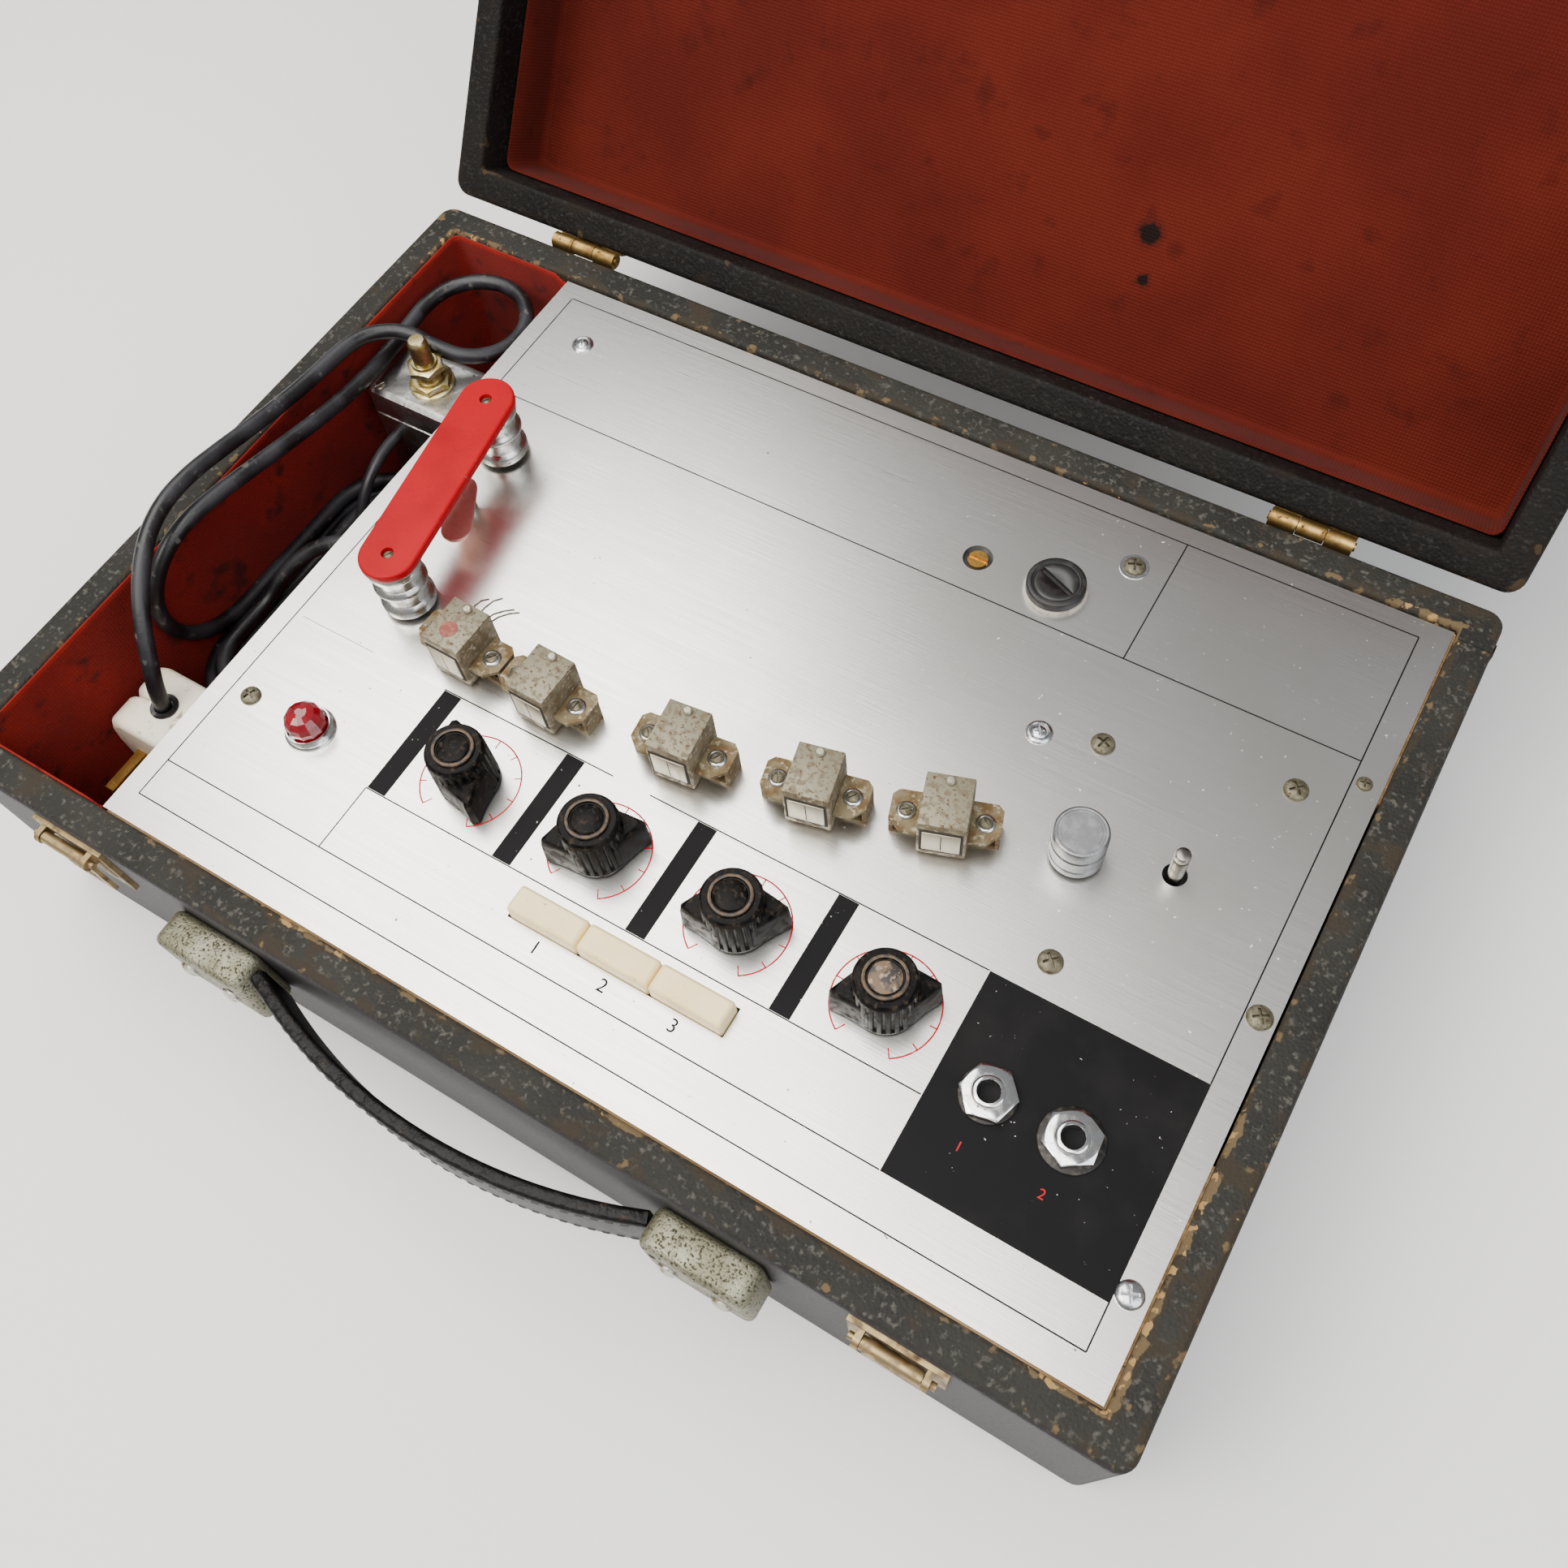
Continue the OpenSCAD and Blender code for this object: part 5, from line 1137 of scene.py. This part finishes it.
# Blackened steel: dark, with a dull gleam
dark_washer = start_finish("darkened_steel_washer", "#2B2927", 0.4, Metallic=0.8)
spot(dark_washer, "#4B4640", 0.002, 0.5, 0.7, rough=0.5)
# Phenolic, moulded: near black with half a gloss
black_moulding = start_finish("black_phenolic_moulding", "#191818", 0.4)
spot(black_moulding, "#2A2826", 0.004, 0.5, 0.7, rough=0.6)
bodies_low, panel_under = -21.6, -1.6
build = bmesh.new()
for x, washer, turn in ((282.3, 17, 12), (307.7, 19, 34)):
    place = on_panel(x, 47, 0, turn)
    add_lathe(build, [(3.25, -18), (3.25, 4), (3.5, 4.4), (4.2, 4.4),
                      (4.7, 4), (4.7, panel_under), (4.7, -18), (3.25, -18)], place)
    add_nut(build, 15, 9.5, 0.9, 3.7, place)
    add_lathe(build, [(4.75, 0.02), (washer / 2, 0.02), (washer / 2, 0.6),
                      (washer / 2 - 0.3, 0.8), (4.75, 0.8), (4.75, 0.02)], place, slot=1)
    add_prism(build, rectangle(15, 13), bodies_low, panel_under, on_panel(x, 47), bevel=0.6,
              steps=2, slot=2)
jacks = show("jack_sockets_chromed", build, [bright_chrome, dark_washer, black_moulding], 40)
join_in(jacks, "case", "bright_chrome", "jack_sockets")

# Control knobs ------------------------------------------------------------------------------
# Four black phenolic knobs with two pointed wings each, a fluted skirt and a turned top with
# two rings. Dust has turned their flutes brown, and the last one's cap is rubbed.

# Phenolic, moulded: black with a soft gloss, and brown dust in its flutes
knob_black = start_finish("black_phenolic_knob", "#090808", 0.34, Specular_IOR_Level=0.08)
spot(knob_black, "#1D1A18", 0.004, 0.45, 0.65, rough=0.55)
spot(knob_black, "#352D24", 0.0016, 0.56, 0.68, rough=0.75, seed=3)
# The same with its gloss rubbed off, so that the filler shows brown
rubbed_cap = start_finish("rubbed_phenolic_cap", "#2B2724", 0.5)
spot(rubbed_cap, "#6A5642", 0.004, 0.45, 0.56, rough=0.7, seed=5)
spot(rubbed_cap, "#99876F", 0.0018, 0.55, 0.66, rough=0.7, seed=2)
# Dust held in a turned ring: matt brown
brown_ring = start_finish("dust_brown_ring", "#5B4733", 0.65)
spot(brown_ring, "#2E2824", 0.002, 0.42, 0.6, rough=0.5)
flutes = 24
knob_turns = [134, 40, 28, 33]
for i, turn in enumerate(knob_turns):
    build = bmesh.new()
    place = on_panel(knob_start + i * knob_pitch, knob_row, 0, turn)

    def flute(t, least, most):
        return least + (most - least) * ease(1.6 * (0.5 + 0.5 * cos(flutes * t)))
    sides = flutes * 8
    add_rings(build, [ring_of(8.6, 1, sides), ring_of(9.9, 1, sides),
                      ring_of(10.05, 1.6, sides), ring_of(10.05, 2.4, sides),
                      ring_of(lambda t: flute(t, 9.3, 10.05), 2.8, sides),
                      ring_of(lambda t: flute(t, 9.0, 9.75), 18.2, sides),
                      ring_of(9.6, 18.6, sides), ring_of(9.5, 19.6, sides),
                      ring_of(9.15, 20.4, sides), ring_of(8.6, 20.8, sides),
                      ring_of(7.7, 20.8, sides)], place)
    dome = 72
    add_lathe(build, [(7.7, 20.8), (7.45, 20.5), (7.1, 20.5), (6.85, 21.2),
                      (6.75, 21.5)], place, sides=dome)
    add_lathe(build, [(6.75, 21.5), (6.55, 21.9), (6.1, 22), (5.7, 21.85)], place, sides=dome,
              slot=2)
    add_lathe(build, [(5.7, 21.85), (5.5, 21.2), (5.1, 21.15), (4.9, 21.45)], place, sides=dome)
    add_lathe(build, [(4.9, 21.45), (4.5, 21.65), (0, 21.7)], place, sides=dome,
              slot=1 if i == 3 else 0)
    tip, root, half = 16.4, 5.6, 8.2
    for side in (0, 180):
        rings = []
        for z, grow, fall in ((1.0, 0.0, 0.0), (3.0, 0.0, 0.1), (11.5, -0.4, 0.5),
                              (13.6, -0.9, 1.2), (14.5, -1.6, 2.4)):
            side_points = [(root, half + grow, z), (11.5, 3.9 + grow * 0.7, z),
                           (tip - fall, 1.1 + grow * 0.35, z - 0.4 * fall)]
            rings.append([(x, -y, z) for x, y, z in side_points] + side_points[::-1])
        add_rings(build, rings, place @ turned_by(side, "Z"))
    add_lathe(build, [(0, -10.6), (3, -10.6), (3, 18), (0, 18)], place, sides=32, slot=2)
    knob = show(f"winged_knob_{i + 1}", build, [knob_black, rubbed_cap, brown_ring], 32)
    join_in(knob, f"knob_{i + 1}", "knob_black", f"knob_{i + 1}")

# Keys ---------------------------------------------------------------------------------------
# Three cream urea keys side by side on their stems, with rounded edges, a hair's gap apart.

# Urea, moulded: cream and a little translucent, yellowed in patches
key_cream = start_finish("cream_urea_key", "#FFE8AE", 0.38, Subsurface_Weight=0.1,
                         Subsurface_Scale=0.002)
spot(key_cream, "#FADB9C", 0.012, 0.45, 0.7, rough=0.42)
spot(key_cream, "#C9AF86", 0.002, 0.66, 0.74, rough=0.6, seed=4)
key_wide, key_deep, key_pitch = 25.2, 9.4, 25.6
for i in range(3):
    build = bmesh.new()
    place = on_panel(170.2 + (i - 1) * key_pitch, 29.3)
    levels = [(-1.2, 0.0), (4.9, 0.1), (5.7, 0.3), (6.2, 0.7), (6.45, 1.25)]
    rings = [[(x, y, z) for x, y in corner_ring(key_wide - 2 * o, key_deep - 2 * o, 1.1, along=6,
                                                around=5)] for z, o in levels]
    add_rings(build, rings, place)
    add_prism(build, rectangle(8, 4), bodies_low, -1.2, place)
    key = show(f"cream_key_{i + 1}", build, [key_cream], 50)
    join_in(key, f"key_{i + 1}", "key_cream", f"key_{i + 1}")

# Lamp ---------------------------------------------------------------------------------------
# A red faceted glass jewel in a turned chrome bezel, with the lamp's holder under the panel.
build = bmesh.new()
place = on_panel(35, 46)
add_lathe(build, [(6, bodies_low), (6, panel_under), (6, 0), (8.5, 0.02), (8.5, 0.9), (8.3, 1.3),
                  (7.95, 1.5), (7.7, 3.2), (7.45, 3.6), (7.1, 3.6), (6.85, 3.2), (6.85, 1),
                  (4.5, 1), (4.5, bodies_low), (6, bodies_low)], place, sides=64)
bezel = show("lamp_chrome_bezel", build, [bright_chrome], 40)
join_in(bezel, "case", "bright_chrome", "lamp_bezel")
# Pressed glass, dyed red: dark in its depth and bright on its facets
jewel_red = start_finish("red_glass_jewel", "#A01022", 0.08, Transmission_Weight=0.35, IOR=1.5,
                         Coat_Weight=0.5)
spot(jewel_red, "#7C0A18", 0.005, 0.4, 0.7)
build = bmesh.new()
facets = 12
add_rings(build, [ring_of(6.7, 1.05, facets), ring_of(6.7, 6.2, facets),
                  ring_of(6.2, 8.4, facets), ring_of(4.7, 10.4, facets),
                  ring_of(2.6, 11.5, facets), ring_of(1.2, 11.8, facets)], place)
jewel = show("lamp_faceted_jewel", build, [jewel_red], 12)
join_in(jewel, "case", "jewel_red", "lamp_jewel")

# Fuse holder and voltage selector -----------------------------------------------------------
# A black slotted cap in a pale threaded holder, and a brass slotted dial sunk in a dark body.

# Phenolic with a pale filler: matt and dusty
holder_grey = start_finish("pale_phenolic_holder", "#B9B3A6", 0.5)
spot(holder_grey, "#8F897B", 0.003, 0.5, 0.7, rough=0.65)
paint_node(holder_grey, "fuse_holder")
build = bmesh.new()
place = on_panel(224.1, 210.6, 0, -22)
add_lathe(build, [(0, bodies_low), (4.95, bodies_low), (4.95, 1.3), (9.7, 1.3), (10, 1.6),
                  (10, 4.1), (9.7, 4.55), (9.2, 4.7), (8.4, 4.7), (8.1, 4.35), (7.6, 4.3),
                  (7.3, 4.6), (6.9, 4.7), (0, 4.7)], place, sides=72)
cap = show("fuse_slotted_cap", build, [], 40)


def cut_with(piece, build):
    """Cuts a second mesh out of a piece, and leaves a plain mesh."""
    cutter = show(piece.name + "_cut", build, [])
    cut = piece.modifiers.new("cut", "BOOLEAN")
    cut.object = cutter
    cut.solver = "EXACT"
    flatten(piece)
    bpy.data.objects.remove(cutter)


build = bmesh.new()
add_prism(build, rectangle(14, 1.8), 3.4, 6, place)
cut_with(cap, build)
cap.data.materials.append(black_moulding)
join_in(cap, "fuse_cap", "black_moulding", "fuse_cap")
paint_node(black_moulding, "selector_body")
# Turned brass: bright yellow, dull where fingers have been
dial_brass = start_finish("turned_brass", "#C79A4B", 0.3, Metallic=1.0)
spot(dial_brass, "#8C6B38", 0.002, 0.45, 0.62, rough=0.45)
paint_node(dial_brass, "selector_dial")

# Tape heads ---------------------------------------------------------------------------------
# One erase head and four record and replay heads: folded cans of tinned steel with a pale
# ground face to the tape, a speckled top plate and a peg, on khaki brackets that have rusted.

# Tinned steel, folded: grey brown and half matt, stained
head_can = start_finish("tinned_steel_can", "#877C66", 0.5, Metallic=0.55)
spot(head_can, "#65573F", 0.004, 0.42, 0.6, rough=0.7, metal=0.2)
spot(head_can, "#A39B88", 0.0016, 0.56, 0.68, rough=0.45, seed=4)
# Tin plate: speckled grey with spots of rust
head_top = start_finish("speckled_tin_plate", "#827D68", 0.5, Metallic=0.4)
spot(head_top, "#6F644E", 0.0022, 0.5, 0.6, rough=0.7, metal=0.2, seed=3)
spot(head_top, "#593C26", 0.0012, 0.58, 0.66, rough=0.8, metal=0.1, seed=9)
# Laminations ground flat: pale, with a fine upright grain
head_face = start_finish("ground_head_face", "#A39D8A", 0.35, Metallic=0.7)
spot(head_face, "#A79E89", 0.0012, 0.4, 0.7, rough=0.5, stretch=(1, 1, 0.1))
# Resin round the laminations: dark and matt
dark_gap = start_finish("dark_head_gap", "#2C2822", 0.8)
spot(dark_gap, "#3F392F", 0.002, 0.5, 0.7)
head_wide, head_deep, head_high, bracket_thick = 15, 18, 20.5, 1.4


def build_head(build, x, y, turn):
    place = on_panel(x, y, 0, turn)
    add_prism(build, rectangle(head_wide, head_deep), bracket_thick, head_high - 0.7, place,
              bevel=0.7)
    add_prism(build, rectangle(head_wide - 0.3, head_deep - 0.3), head_high - 0.7, head_high,
              place, bevel=0.3, steps=2, slot=1)
    front = place @ at(0, -head_deep / 2 - 0.02, 0) @ turned_by(90, "X")
    raised = [(-5.8, 5.4), (5.8, 5.4), (5.8, 16.2), (-5.8, 16.2)]
    add_prism(build, [(-6.6, 4.2), (6.6, 4.2), (6.6, 17.4), (-6.6, 17.4)], -0.1, 0.12, front,
              slot=3)
    add_prism(build, raised, -0.1, 0.5, front, bevel=0.2, steps=2, slot=2)
    add_prism(build, rectangle(0.3, 9), 0.45, 0.53, front @ at(0, 10.8, 0), slot=3)
    add_lathe(build, [(0, 20.4), (1.5, 20.4), (1.5, 21.4), (1.1, 21.85),
                      (0, 21.9)], place @ at(0, head_deep / 2 - 2.5, 0), sides=24, slot=2)


for name, chosen, node in (("erase_head_can", heads[:1], "erase_head"),
                           ("record_replay_head_cans", heads[1:], "record_replay_heads")):
    build = bmesh.new()
    for x, y, turn in chosen:
        build_head(build, x, y, turn)
    if node == "erase_head":
        add_lathe(build, [(0, 20.45), (3.1, 20.45), (3.1, 20.6), (0, 20.6)], on_panel(64.9, 91.5),
                  sides=32, slot=4)
    piece = show(name, build, [head_can, head_top, head_face, dark_gap])
    if node == "erase_head":
        # A round dab of dull red lacquer on the erase head
        lacquer = start_finish("dull_red_lacquer", "#7E3A30", 0.6)
        spot(lacquer, "#94614F", 0.002, 0.45, 0.65, rough=0.8)
        piece.data.materials.append(lacquer)
    join_in(piece, "case", "erase_head_metal" if node == "erase_head" else "head_metal", node)
# Steel with a khaki plating: matt, rusted in patches
bracket_rust = start_finish("rusted_khaki_bracket", "#766A4E", 0.62, Metallic=0.35)
spot(bracket_rust, "#664F30", 0.005, 0.42, 0.6, rough=0.8)
spot(bracket_rust, "#A0977C", 0.0018, 0.56, 0.68, rough=0.5, seed=2)
paint_node(bracket_rust, "head_brackets")
# Stubs of tinned wire, cut short, behind the erase head
wire_dark = start_finish("tarnished_wire", "#3D3830", 0.5, Metallic=0.7)
spot(wire_dark, "#6D665A", 0.001, 0.4, 0.6, rough=0.6)
build = bmesh.new()
for k, (side, out, up) in enumerate(((-3, 7, 1.0), (0, 9, 2.2), (3, 8.5, -0.5), (5, 7.5, 1.6))):
    points = [Vector((side, 8.8, 14)), Vector((side + 0.6 * k, 8.8 + out * 0.4, 14.5 + up * 0.3)),
              Vector((side + 1.2 * k + 1, 8.8 + out * 0.75, 14.5 + up * 0.8)),
              Vector((side + 1.5 * k + 3, 8.8 + out, 14.5 + up))]
    place = on_panel(*heads[0][:2], 0, heads[0][2])
    rings = []
    for a, b in zip(points, points[1:] + [points[-1] * 2 - points[-2]]):
        away = (b - a).normalized()
        u = away.cross(Vector((0, 0, 1))).normalized()
        w = away.cross(u)
        rings.append([a + 0.3 * (cos(t) * u + sin(t) * w)
                      for t in [2 * pi * n / 8 for n in range(8)]])
    add_rings(build, rings, place)
wires = show("erase_head_wire_stubs", build, [wire_dark])
join_in(wires, "case", "erase_head_metal")

# Roller bridge, rollers and leaf ------------------------------------------------------------
# Two grooved steel rollers on posts, under a bridge enamelled red, and a copper leaf that
# presses on the tape between them.

# Stove enamel: an even deep red with a hard gloss, chipped in specks
red_enamel = start_finish("red_stove_enamel", "#A40716", 0.26, Specular_IOR_Level=0.08)
spot(red_enamel, "#950613", 0.02, 0.45, 0.7, rough=0.34)
spot(red_enamel, "#8A3B36", 0.0016, 0.68, 0.72, rough=0.6, seed=5)
raise_grain(red_enamel, patches(red_enamel, 0.0014, 0.3, 0.7), 0.00002)
front_post, back_post = [Vector(place) for place in roller_places]
reach = (back_post - front_post).length
bridge_turn = 90 + 180 / pi * asin((front_post.x - back_post.x) / reach)
bridge_wide, bridge_low, bridge_high = 20.3, 23.5, 27
place = on_panel(front_post.x, front_post.y, 0, bridge_turn)
outline = [(bridge_wide / 2 * cos(radians(a)), bridge_wide / 2 * sin(radians(a)))
           for a in range(90, 271, 9)]
outline += [(reach + bridge_wide / 2 * cos(radians(a)), bridge_wide / 2 * sin(radians(a)))
            for a in range(-90, 91, 9)]
build = bmesh.new()
add_prism(build, outline, bridge_low, bridge_high, place, bevel=0.9, steps=4, sharp=50)
bridge = show("roller_bridge_enamelled", build, [], 40)
build = bmesh.new()
for post in (front_post, back_post):
    add_lathe(build, [(0, 20), (1.25, 20), (1.25, 25.4), (2.0, 25.4),
                      (2.3, 28), (0, 28)], on_panel(post.x, post.y), sides=28)
cut_with(bridge, build)
bridge.data.materials.append(red_enamel)
join_in(bridge, "case", "red_enamel", "roller_bridge")
# Chrome on turned steel: a mirror, dulled where the tape has run
roller_chrome = start_finish("worn_roller_chrome", "#CFCFCC", 0.2, Metallic=1.0)
spot(roller_chrome, "#A9A69E", 0.004, 0.42, 0.66, rough=0.36)
spot(roller_chrome, "#6E6353", 0.0016, 0.64, 0.72, rough=0.6)
groove = [(2.55, 1.9), (9.1, 1.9), (9.45, 2.2), (9.45, 4.6), (9.2, 5.1), (7.9, 6.2), (7.8, 6.8),
          (7.8, 10.4), (8.0, 11.0), (9.3, 12.1), (9.45, 12.5), (9.45, 13.2), (9.2, 13.8),
          (7.9, 14.8), (7.8, 15.2), (7.8, 18.4), (8.0, 19.2), (9.3, 20.2), (9.45, 20.7),
          (9.45, 22.6), (9.1, 23.15), (2.55, 23.15), (2.55, 1.9)]
for name, post, body in (("guide_roller_front_chromed", front_post, "guide_roller_front"),
                         ("guide_roller_back_chromed", back_post, "guide_roller_back")):
    build = bmesh.new()
    add_lathe(build, groove, on_panel(post.x, post.y), sides=72)
    roller = show(name, build, [roller_chrome])
    join_in(roller, body, "plated_steel", body)
# Plated steel, turned: silver grey with dull stains
plated_steel = start_finish("plated_steel_post", "#B9B8B2", 0.3, Metallic=1.0)
spot(plated_steel, "#8D877A", 0.003, 0.48, 0.66, rough=0.5)
paint_node(plated_steel, "roller_posts")
# Rolled copper strip: pink and smooth, darker where it has been handled
copper_leaf = start_finish("thin_copper_leaf", "#D7A39A", 0.34, Metallic=0.85)
spot(copper_leaf, "#C58478", 0.005, 0.42, 0.66, rough=0.5)
leaf_reach = 17.5
outline = [(5.5 * cos(radians(a)), 5.5 * sin(radians(a))) for a in range(90, 271, 12)]
outline += [(leaf_reach + 5.5 * cos(radians(a)), 5.5 * sin(radians(a)))
            for a in range(-90, 91, 12)]
build = bmesh.new()
add_prism(build, outline, 8.6, 9.8, on_panel(25.5, 146, 0, -59), bevel=0.3, steps=2, sharp=50)
leaf = show("tension_leaf_copper", build, [copper_leaf], 40)
join_in(leaf, "case", "copper_leaf", "tension_leaf")

# Idler and capstan --------------------------------------------------------------------------
# A turned steel idler with two grooves and a dished top, loose on its post, and the necked end
# of the motor's shaft that drives the tape.

# Turned steel: grey, with fine rings round it
idler_steel = start_finish("turned_idler_steel", "#8F9091", 0.32, Metallic=0.95)
spot(idler_steel, "#6E6F70", 0.0009, 0.35, 0.7, rough=0.42, stretch=(1, 1, 6))
spot(idler_steel, "#A7A6A2", 0.003, 0.58, 0.72, rough=0.5)
# The same, faced: flatter and paler
idler_top = start_finish("grey_idler_face", "#77787A", 0.5, Metallic=0.4)
spot(idler_top, "#8C8D8E", 0.003, 0.45, 0.65, rough=0.6)
place = on_panel(271.8, 125.2)
build = bmesh.new()
add_lathe(build, [(2.55, 1.9), (8.1, 1.9), (8.4, 2.2), (8.4, 4.4), (7.9, 4.8), (7.9, 5.4),
                  (8.45, 5.8), (8.45, 10.6), (8.1, 11), (8.1, 11.5), (8.45, 11.9), (8.45, 16),
                  (8.2, 16.7), (7.7, 17)], place, sides=72)
add_lathe(build, [(7.7, 17), (7.1, 16.9), (6.9, 16.6), (6.2, 16.6), (6.0, 16.75), (0, 16.8)],
          place, sides=72, slot=1)
add_lathe(build, [(2.55, 1.9), (2.55, 14.2), (0, 14.2)], place, sides=72)
idler = show("idler_turned_roller", build, [idler_steel, idler_top])
join_in(idler, "idler_roller", "idler_rubber", "idler_roller")
# Ground shaft steel: a dull silver with a brown cast
capstan_steel = start_finish("ground_capstan_steel", "#85817A", 0.28, Metallic=1.0)
spot(capstan_steel, "#7B766C", 0.002, 0.48, 0.66, rough=0.45)
build = bmesh.new()
place = on_panel(300.1, 133.7)
add_lathe(build, [(0, -52.6), (2.4, -52.6), (2.4, -49.4), (20.6, -49.4), (21, -49), (21, -14.2),
                  (20.6, -13.8), (2.4, -13.8), (2.4, 10), (2.2, 10.6), (1.6, 10.7), (1.6, 11.5),
                  (2.2, 11.7), (2.4, 12.1), (2.4, 14), (2.2, 14.6), (1.7, 14.9), (0, 15)], place,
          sides=56)
capstan = show("capstan_ground_shaft", build, [capstan_steel])
join_in(capstan, "capstan_rotor", "capstan_steel", "capstan_rotor")


# Footswitch ---------------------------------------------------------------------------------
# A cast aluminium box, polished by handling, that stands on end in the compartment: a lid line,
# four screws, a nickelled bush with two hexagon nuts, and a brass plunger.

# Aluminium, cast and polished by handling: silver and uneven, dark in its pits
cast_silver = start_finish("polished_cast_aluminium", "#B4B4B1", 0.3, Metallic=1.0)
spot(cast_silver, "#8F8E8A", 0.01, 0.42, 0.65, rough=0.42)
spot(cast_silver, "#5E5B55", 0.002, 0.6, 0.7, rough=0.6, seed=4)
raise_grain(cast_silver, patches(cast_silver, 0.006, 0.3, 0.7), 0.00012)
# Nickel on brass: a pale yellow silver, brassy where it is rubbed
nickel_brass = start_finish("nickelled_brass", "#C9BE96", 0.28, Metallic=1.0)
spot(nickel_brass, "#A8924F", 0.003, rough=0.4)
box_wide, box_thick, box_low, box_high = 47, 30, 6.8, 77.8
box_x, box_y = -172.9, 72
build = bmesh.new()
place = at(box_x, box_y, 0)
levels = [(box_low, 2.2), (box_low + 0.7, 0.9), (box_low + 2.2, 0.15), (66, 0.0), (66.3, 0.5),
          (66.9, 0.5), (67.2, 0.0), (box_high - 2.6, 0.15), (box_high - 0.9, 0.8),
          (box_high - 0.1, 2.4), (box_high, 3.6)]
add_rings(build, [[(x, y, z) for x, y in
                   corner_ring(box_wide - 2 * o, box_thick - 2 * o, 3.6, along=8)]
                  for z, o in levels], place)
box = show("footswitch_cast_box", build, [cast_silver, nickel_brass], 40)
build = bmesh.new()
top = box_high
add_lathe(build, [(r, top + z) for r, z in ((4.05, -3), (9, -0.5), (9, 0.8), (8.7, 1), (5.1, 1),
                                            (5.1, 11.4), (4.8, 12), (4.05, 12), (4.05, -3))],
          place, sides=56)
add_nut(build, 15, 10, top + 1, top + 4.4, place)
add_nut(build, 13, 10, top + 8.6, top + 11, place @ Matrix.Rotation(0.3, 4, "Z"))
bush = show("footswitch_bush_and_nuts", build, [nickel_brass], 40)
join_in(bush, "case", "switch_metal")
join_in(box, "case", "switch_metal", "footswitch_box")
build = bmesh.new()
add_lathe(build, [(r, top + z) for r, z in ((0, -8), (6, -8), (6, -5), (3.9, -5), (3.9, 20.6),
                                            (3.6, 22), (2.9, 22.8), (0, 23))], place)
plunger = show("footswitch_brass_plunger", build, [nickel_brass], 40)
join_in(plunger, "footswitch_button", "button_metal", "footswitch_button")
box_corners = [(at(box_x + sx * 18.5, box_y + sy * 10.5, box_high)
                @ Matrix.Rotation(sx + sy, 4, "Z"), 4.4 * mm) for sx in (-1, 1) for sy in (-1, 1)]
rest_on_points("footswitch_lid_screws", flat_slotted, box_corners, screw_plate, "case",
               "switch_metal")

# Parts under the panel ----------------------------------------------------------------------
# Control bodies, key frame, motor, transformer and board, in the finishes such parts have.

# Cadmium plating: yellow grey and half matt
pot_shell = start_finish("cadmium_plated_shell", "#A8A288", 0.4, Metallic=0.9)
spot(pot_shell, "#8D8464", 0.004, 0.45, 0.65, rough=0.55)
paint_node(pot_shell, "pot_bodies", "key_frame")
# Hammer enamel: mid grey with a dimpled sheen
motor_grey = start_finish("hammered_grey_enamel", "#5D6161", 0.45, Metallic=0.3)
spot(motor_grey, "#717674", 0.003, rough=0.35)
raise_grain(motor_grey, patches(motor_grey, 0.003, 0.3, 0.7), 0.0001)
paint_node(motor_grey, "motor_body")
# Laminated iron and a varnished winding: near black with fine lines
iron_core = start_finish("laminated_iron_and_winding", "#4A4642", 0.6, Metallic=0.4)
spot(iron_core, "#2F2C2A", 0.0008, rough=0.7, stretch=(0.05, 1, 0.05))
spot(iron_core, "#6B4B32", 0.006, 0.55, 0.7, rough=0.75, metal=0.1)
paint_node(iron_core, "transformer")
# Paper laminate: brown with half a gloss, and tinned tracks
laminate = start_finish("brown_paper_laminate", "#7A5A33", 0.5)
spot(laminate, "#93703F", 0.004, 0.5, 0.65, rough=0.45)
spot(laminate, "#B8B4A6", 0.002, 0.62, 0.7, rough=0.35, stretch=(0.2, 1, 1))
paint_node(laminate, "circuit_board")


# Room ---------------------------------------------------------------------------------------
# A pale floor that curves up far off all round, a broad softbox overhead that the panel mirrors,
# a soft light over the left shoulder and a weaker one from the right, in an even pale surrounding.
floor_level, floor_reach, bend = -8 * mm, 3.6, 1.6
build = bmesh.new()
rise = [(floor_reach + bend * sin(turn), floor_level + bend * (1 - cos(turn)))
        for turn in map(radians, range(0, 91, 5))]
add_lathe(build, [(0, floor_level)] + rise, sides=96, unit=1)
# Matt paint: near white
floor_paint = start_finish("pale_matt_floor", "#F4F3F1", 0.8)
floor = show("studio_floor", build, [floor_paint])

world = bpy.data.worlds.new("pale_room")
bpy.context.scene.world = world
world.use_nodes = True
world.node_tree.nodes["Background"].inputs["Color"].default_value = linear("#F2F3F5")
world.node_tree.nodes["Background"].inputs["Strength"].default_value = 0.38


def hang_light(name, place, aim, width, power, colour, long=None):
    light = bpy.data.lights.new(name, "AREA")
    light.shape = "RECTANGLE" if long else "DISK"
    light.size = width
    if long:
        light.size_y = long
    light.energy = power
    light.color = linear(colour)[:3]
    lamp = bpy.data.objects.new(name, light)
    towards = (Vector(aim) - Vector(place)).to_track_quat("-Z", "Y")
    lamp.matrix_world = Matrix.Translation(place) @ towards.to_matrix().to_4x4()
    bpy.context.scene.collection.objects.link(lamp)


hang_light("overhead_softbox", (-0.3, -0.1, 1.35), (-0.25, -0.05, 0), 2.1, 35, "#FFFDFA",
           long=0.85)
hang_light("soft_key_light", (-0.7, -0.9, 1.5), (0, 0, 0.05), 0.9, 20, "#FFF9F0")
hang_light("soft_fill_light", (1.2, -0.3, 1.1), (0, 0, 0.05), 1.2, 12, "#F4F8FF")
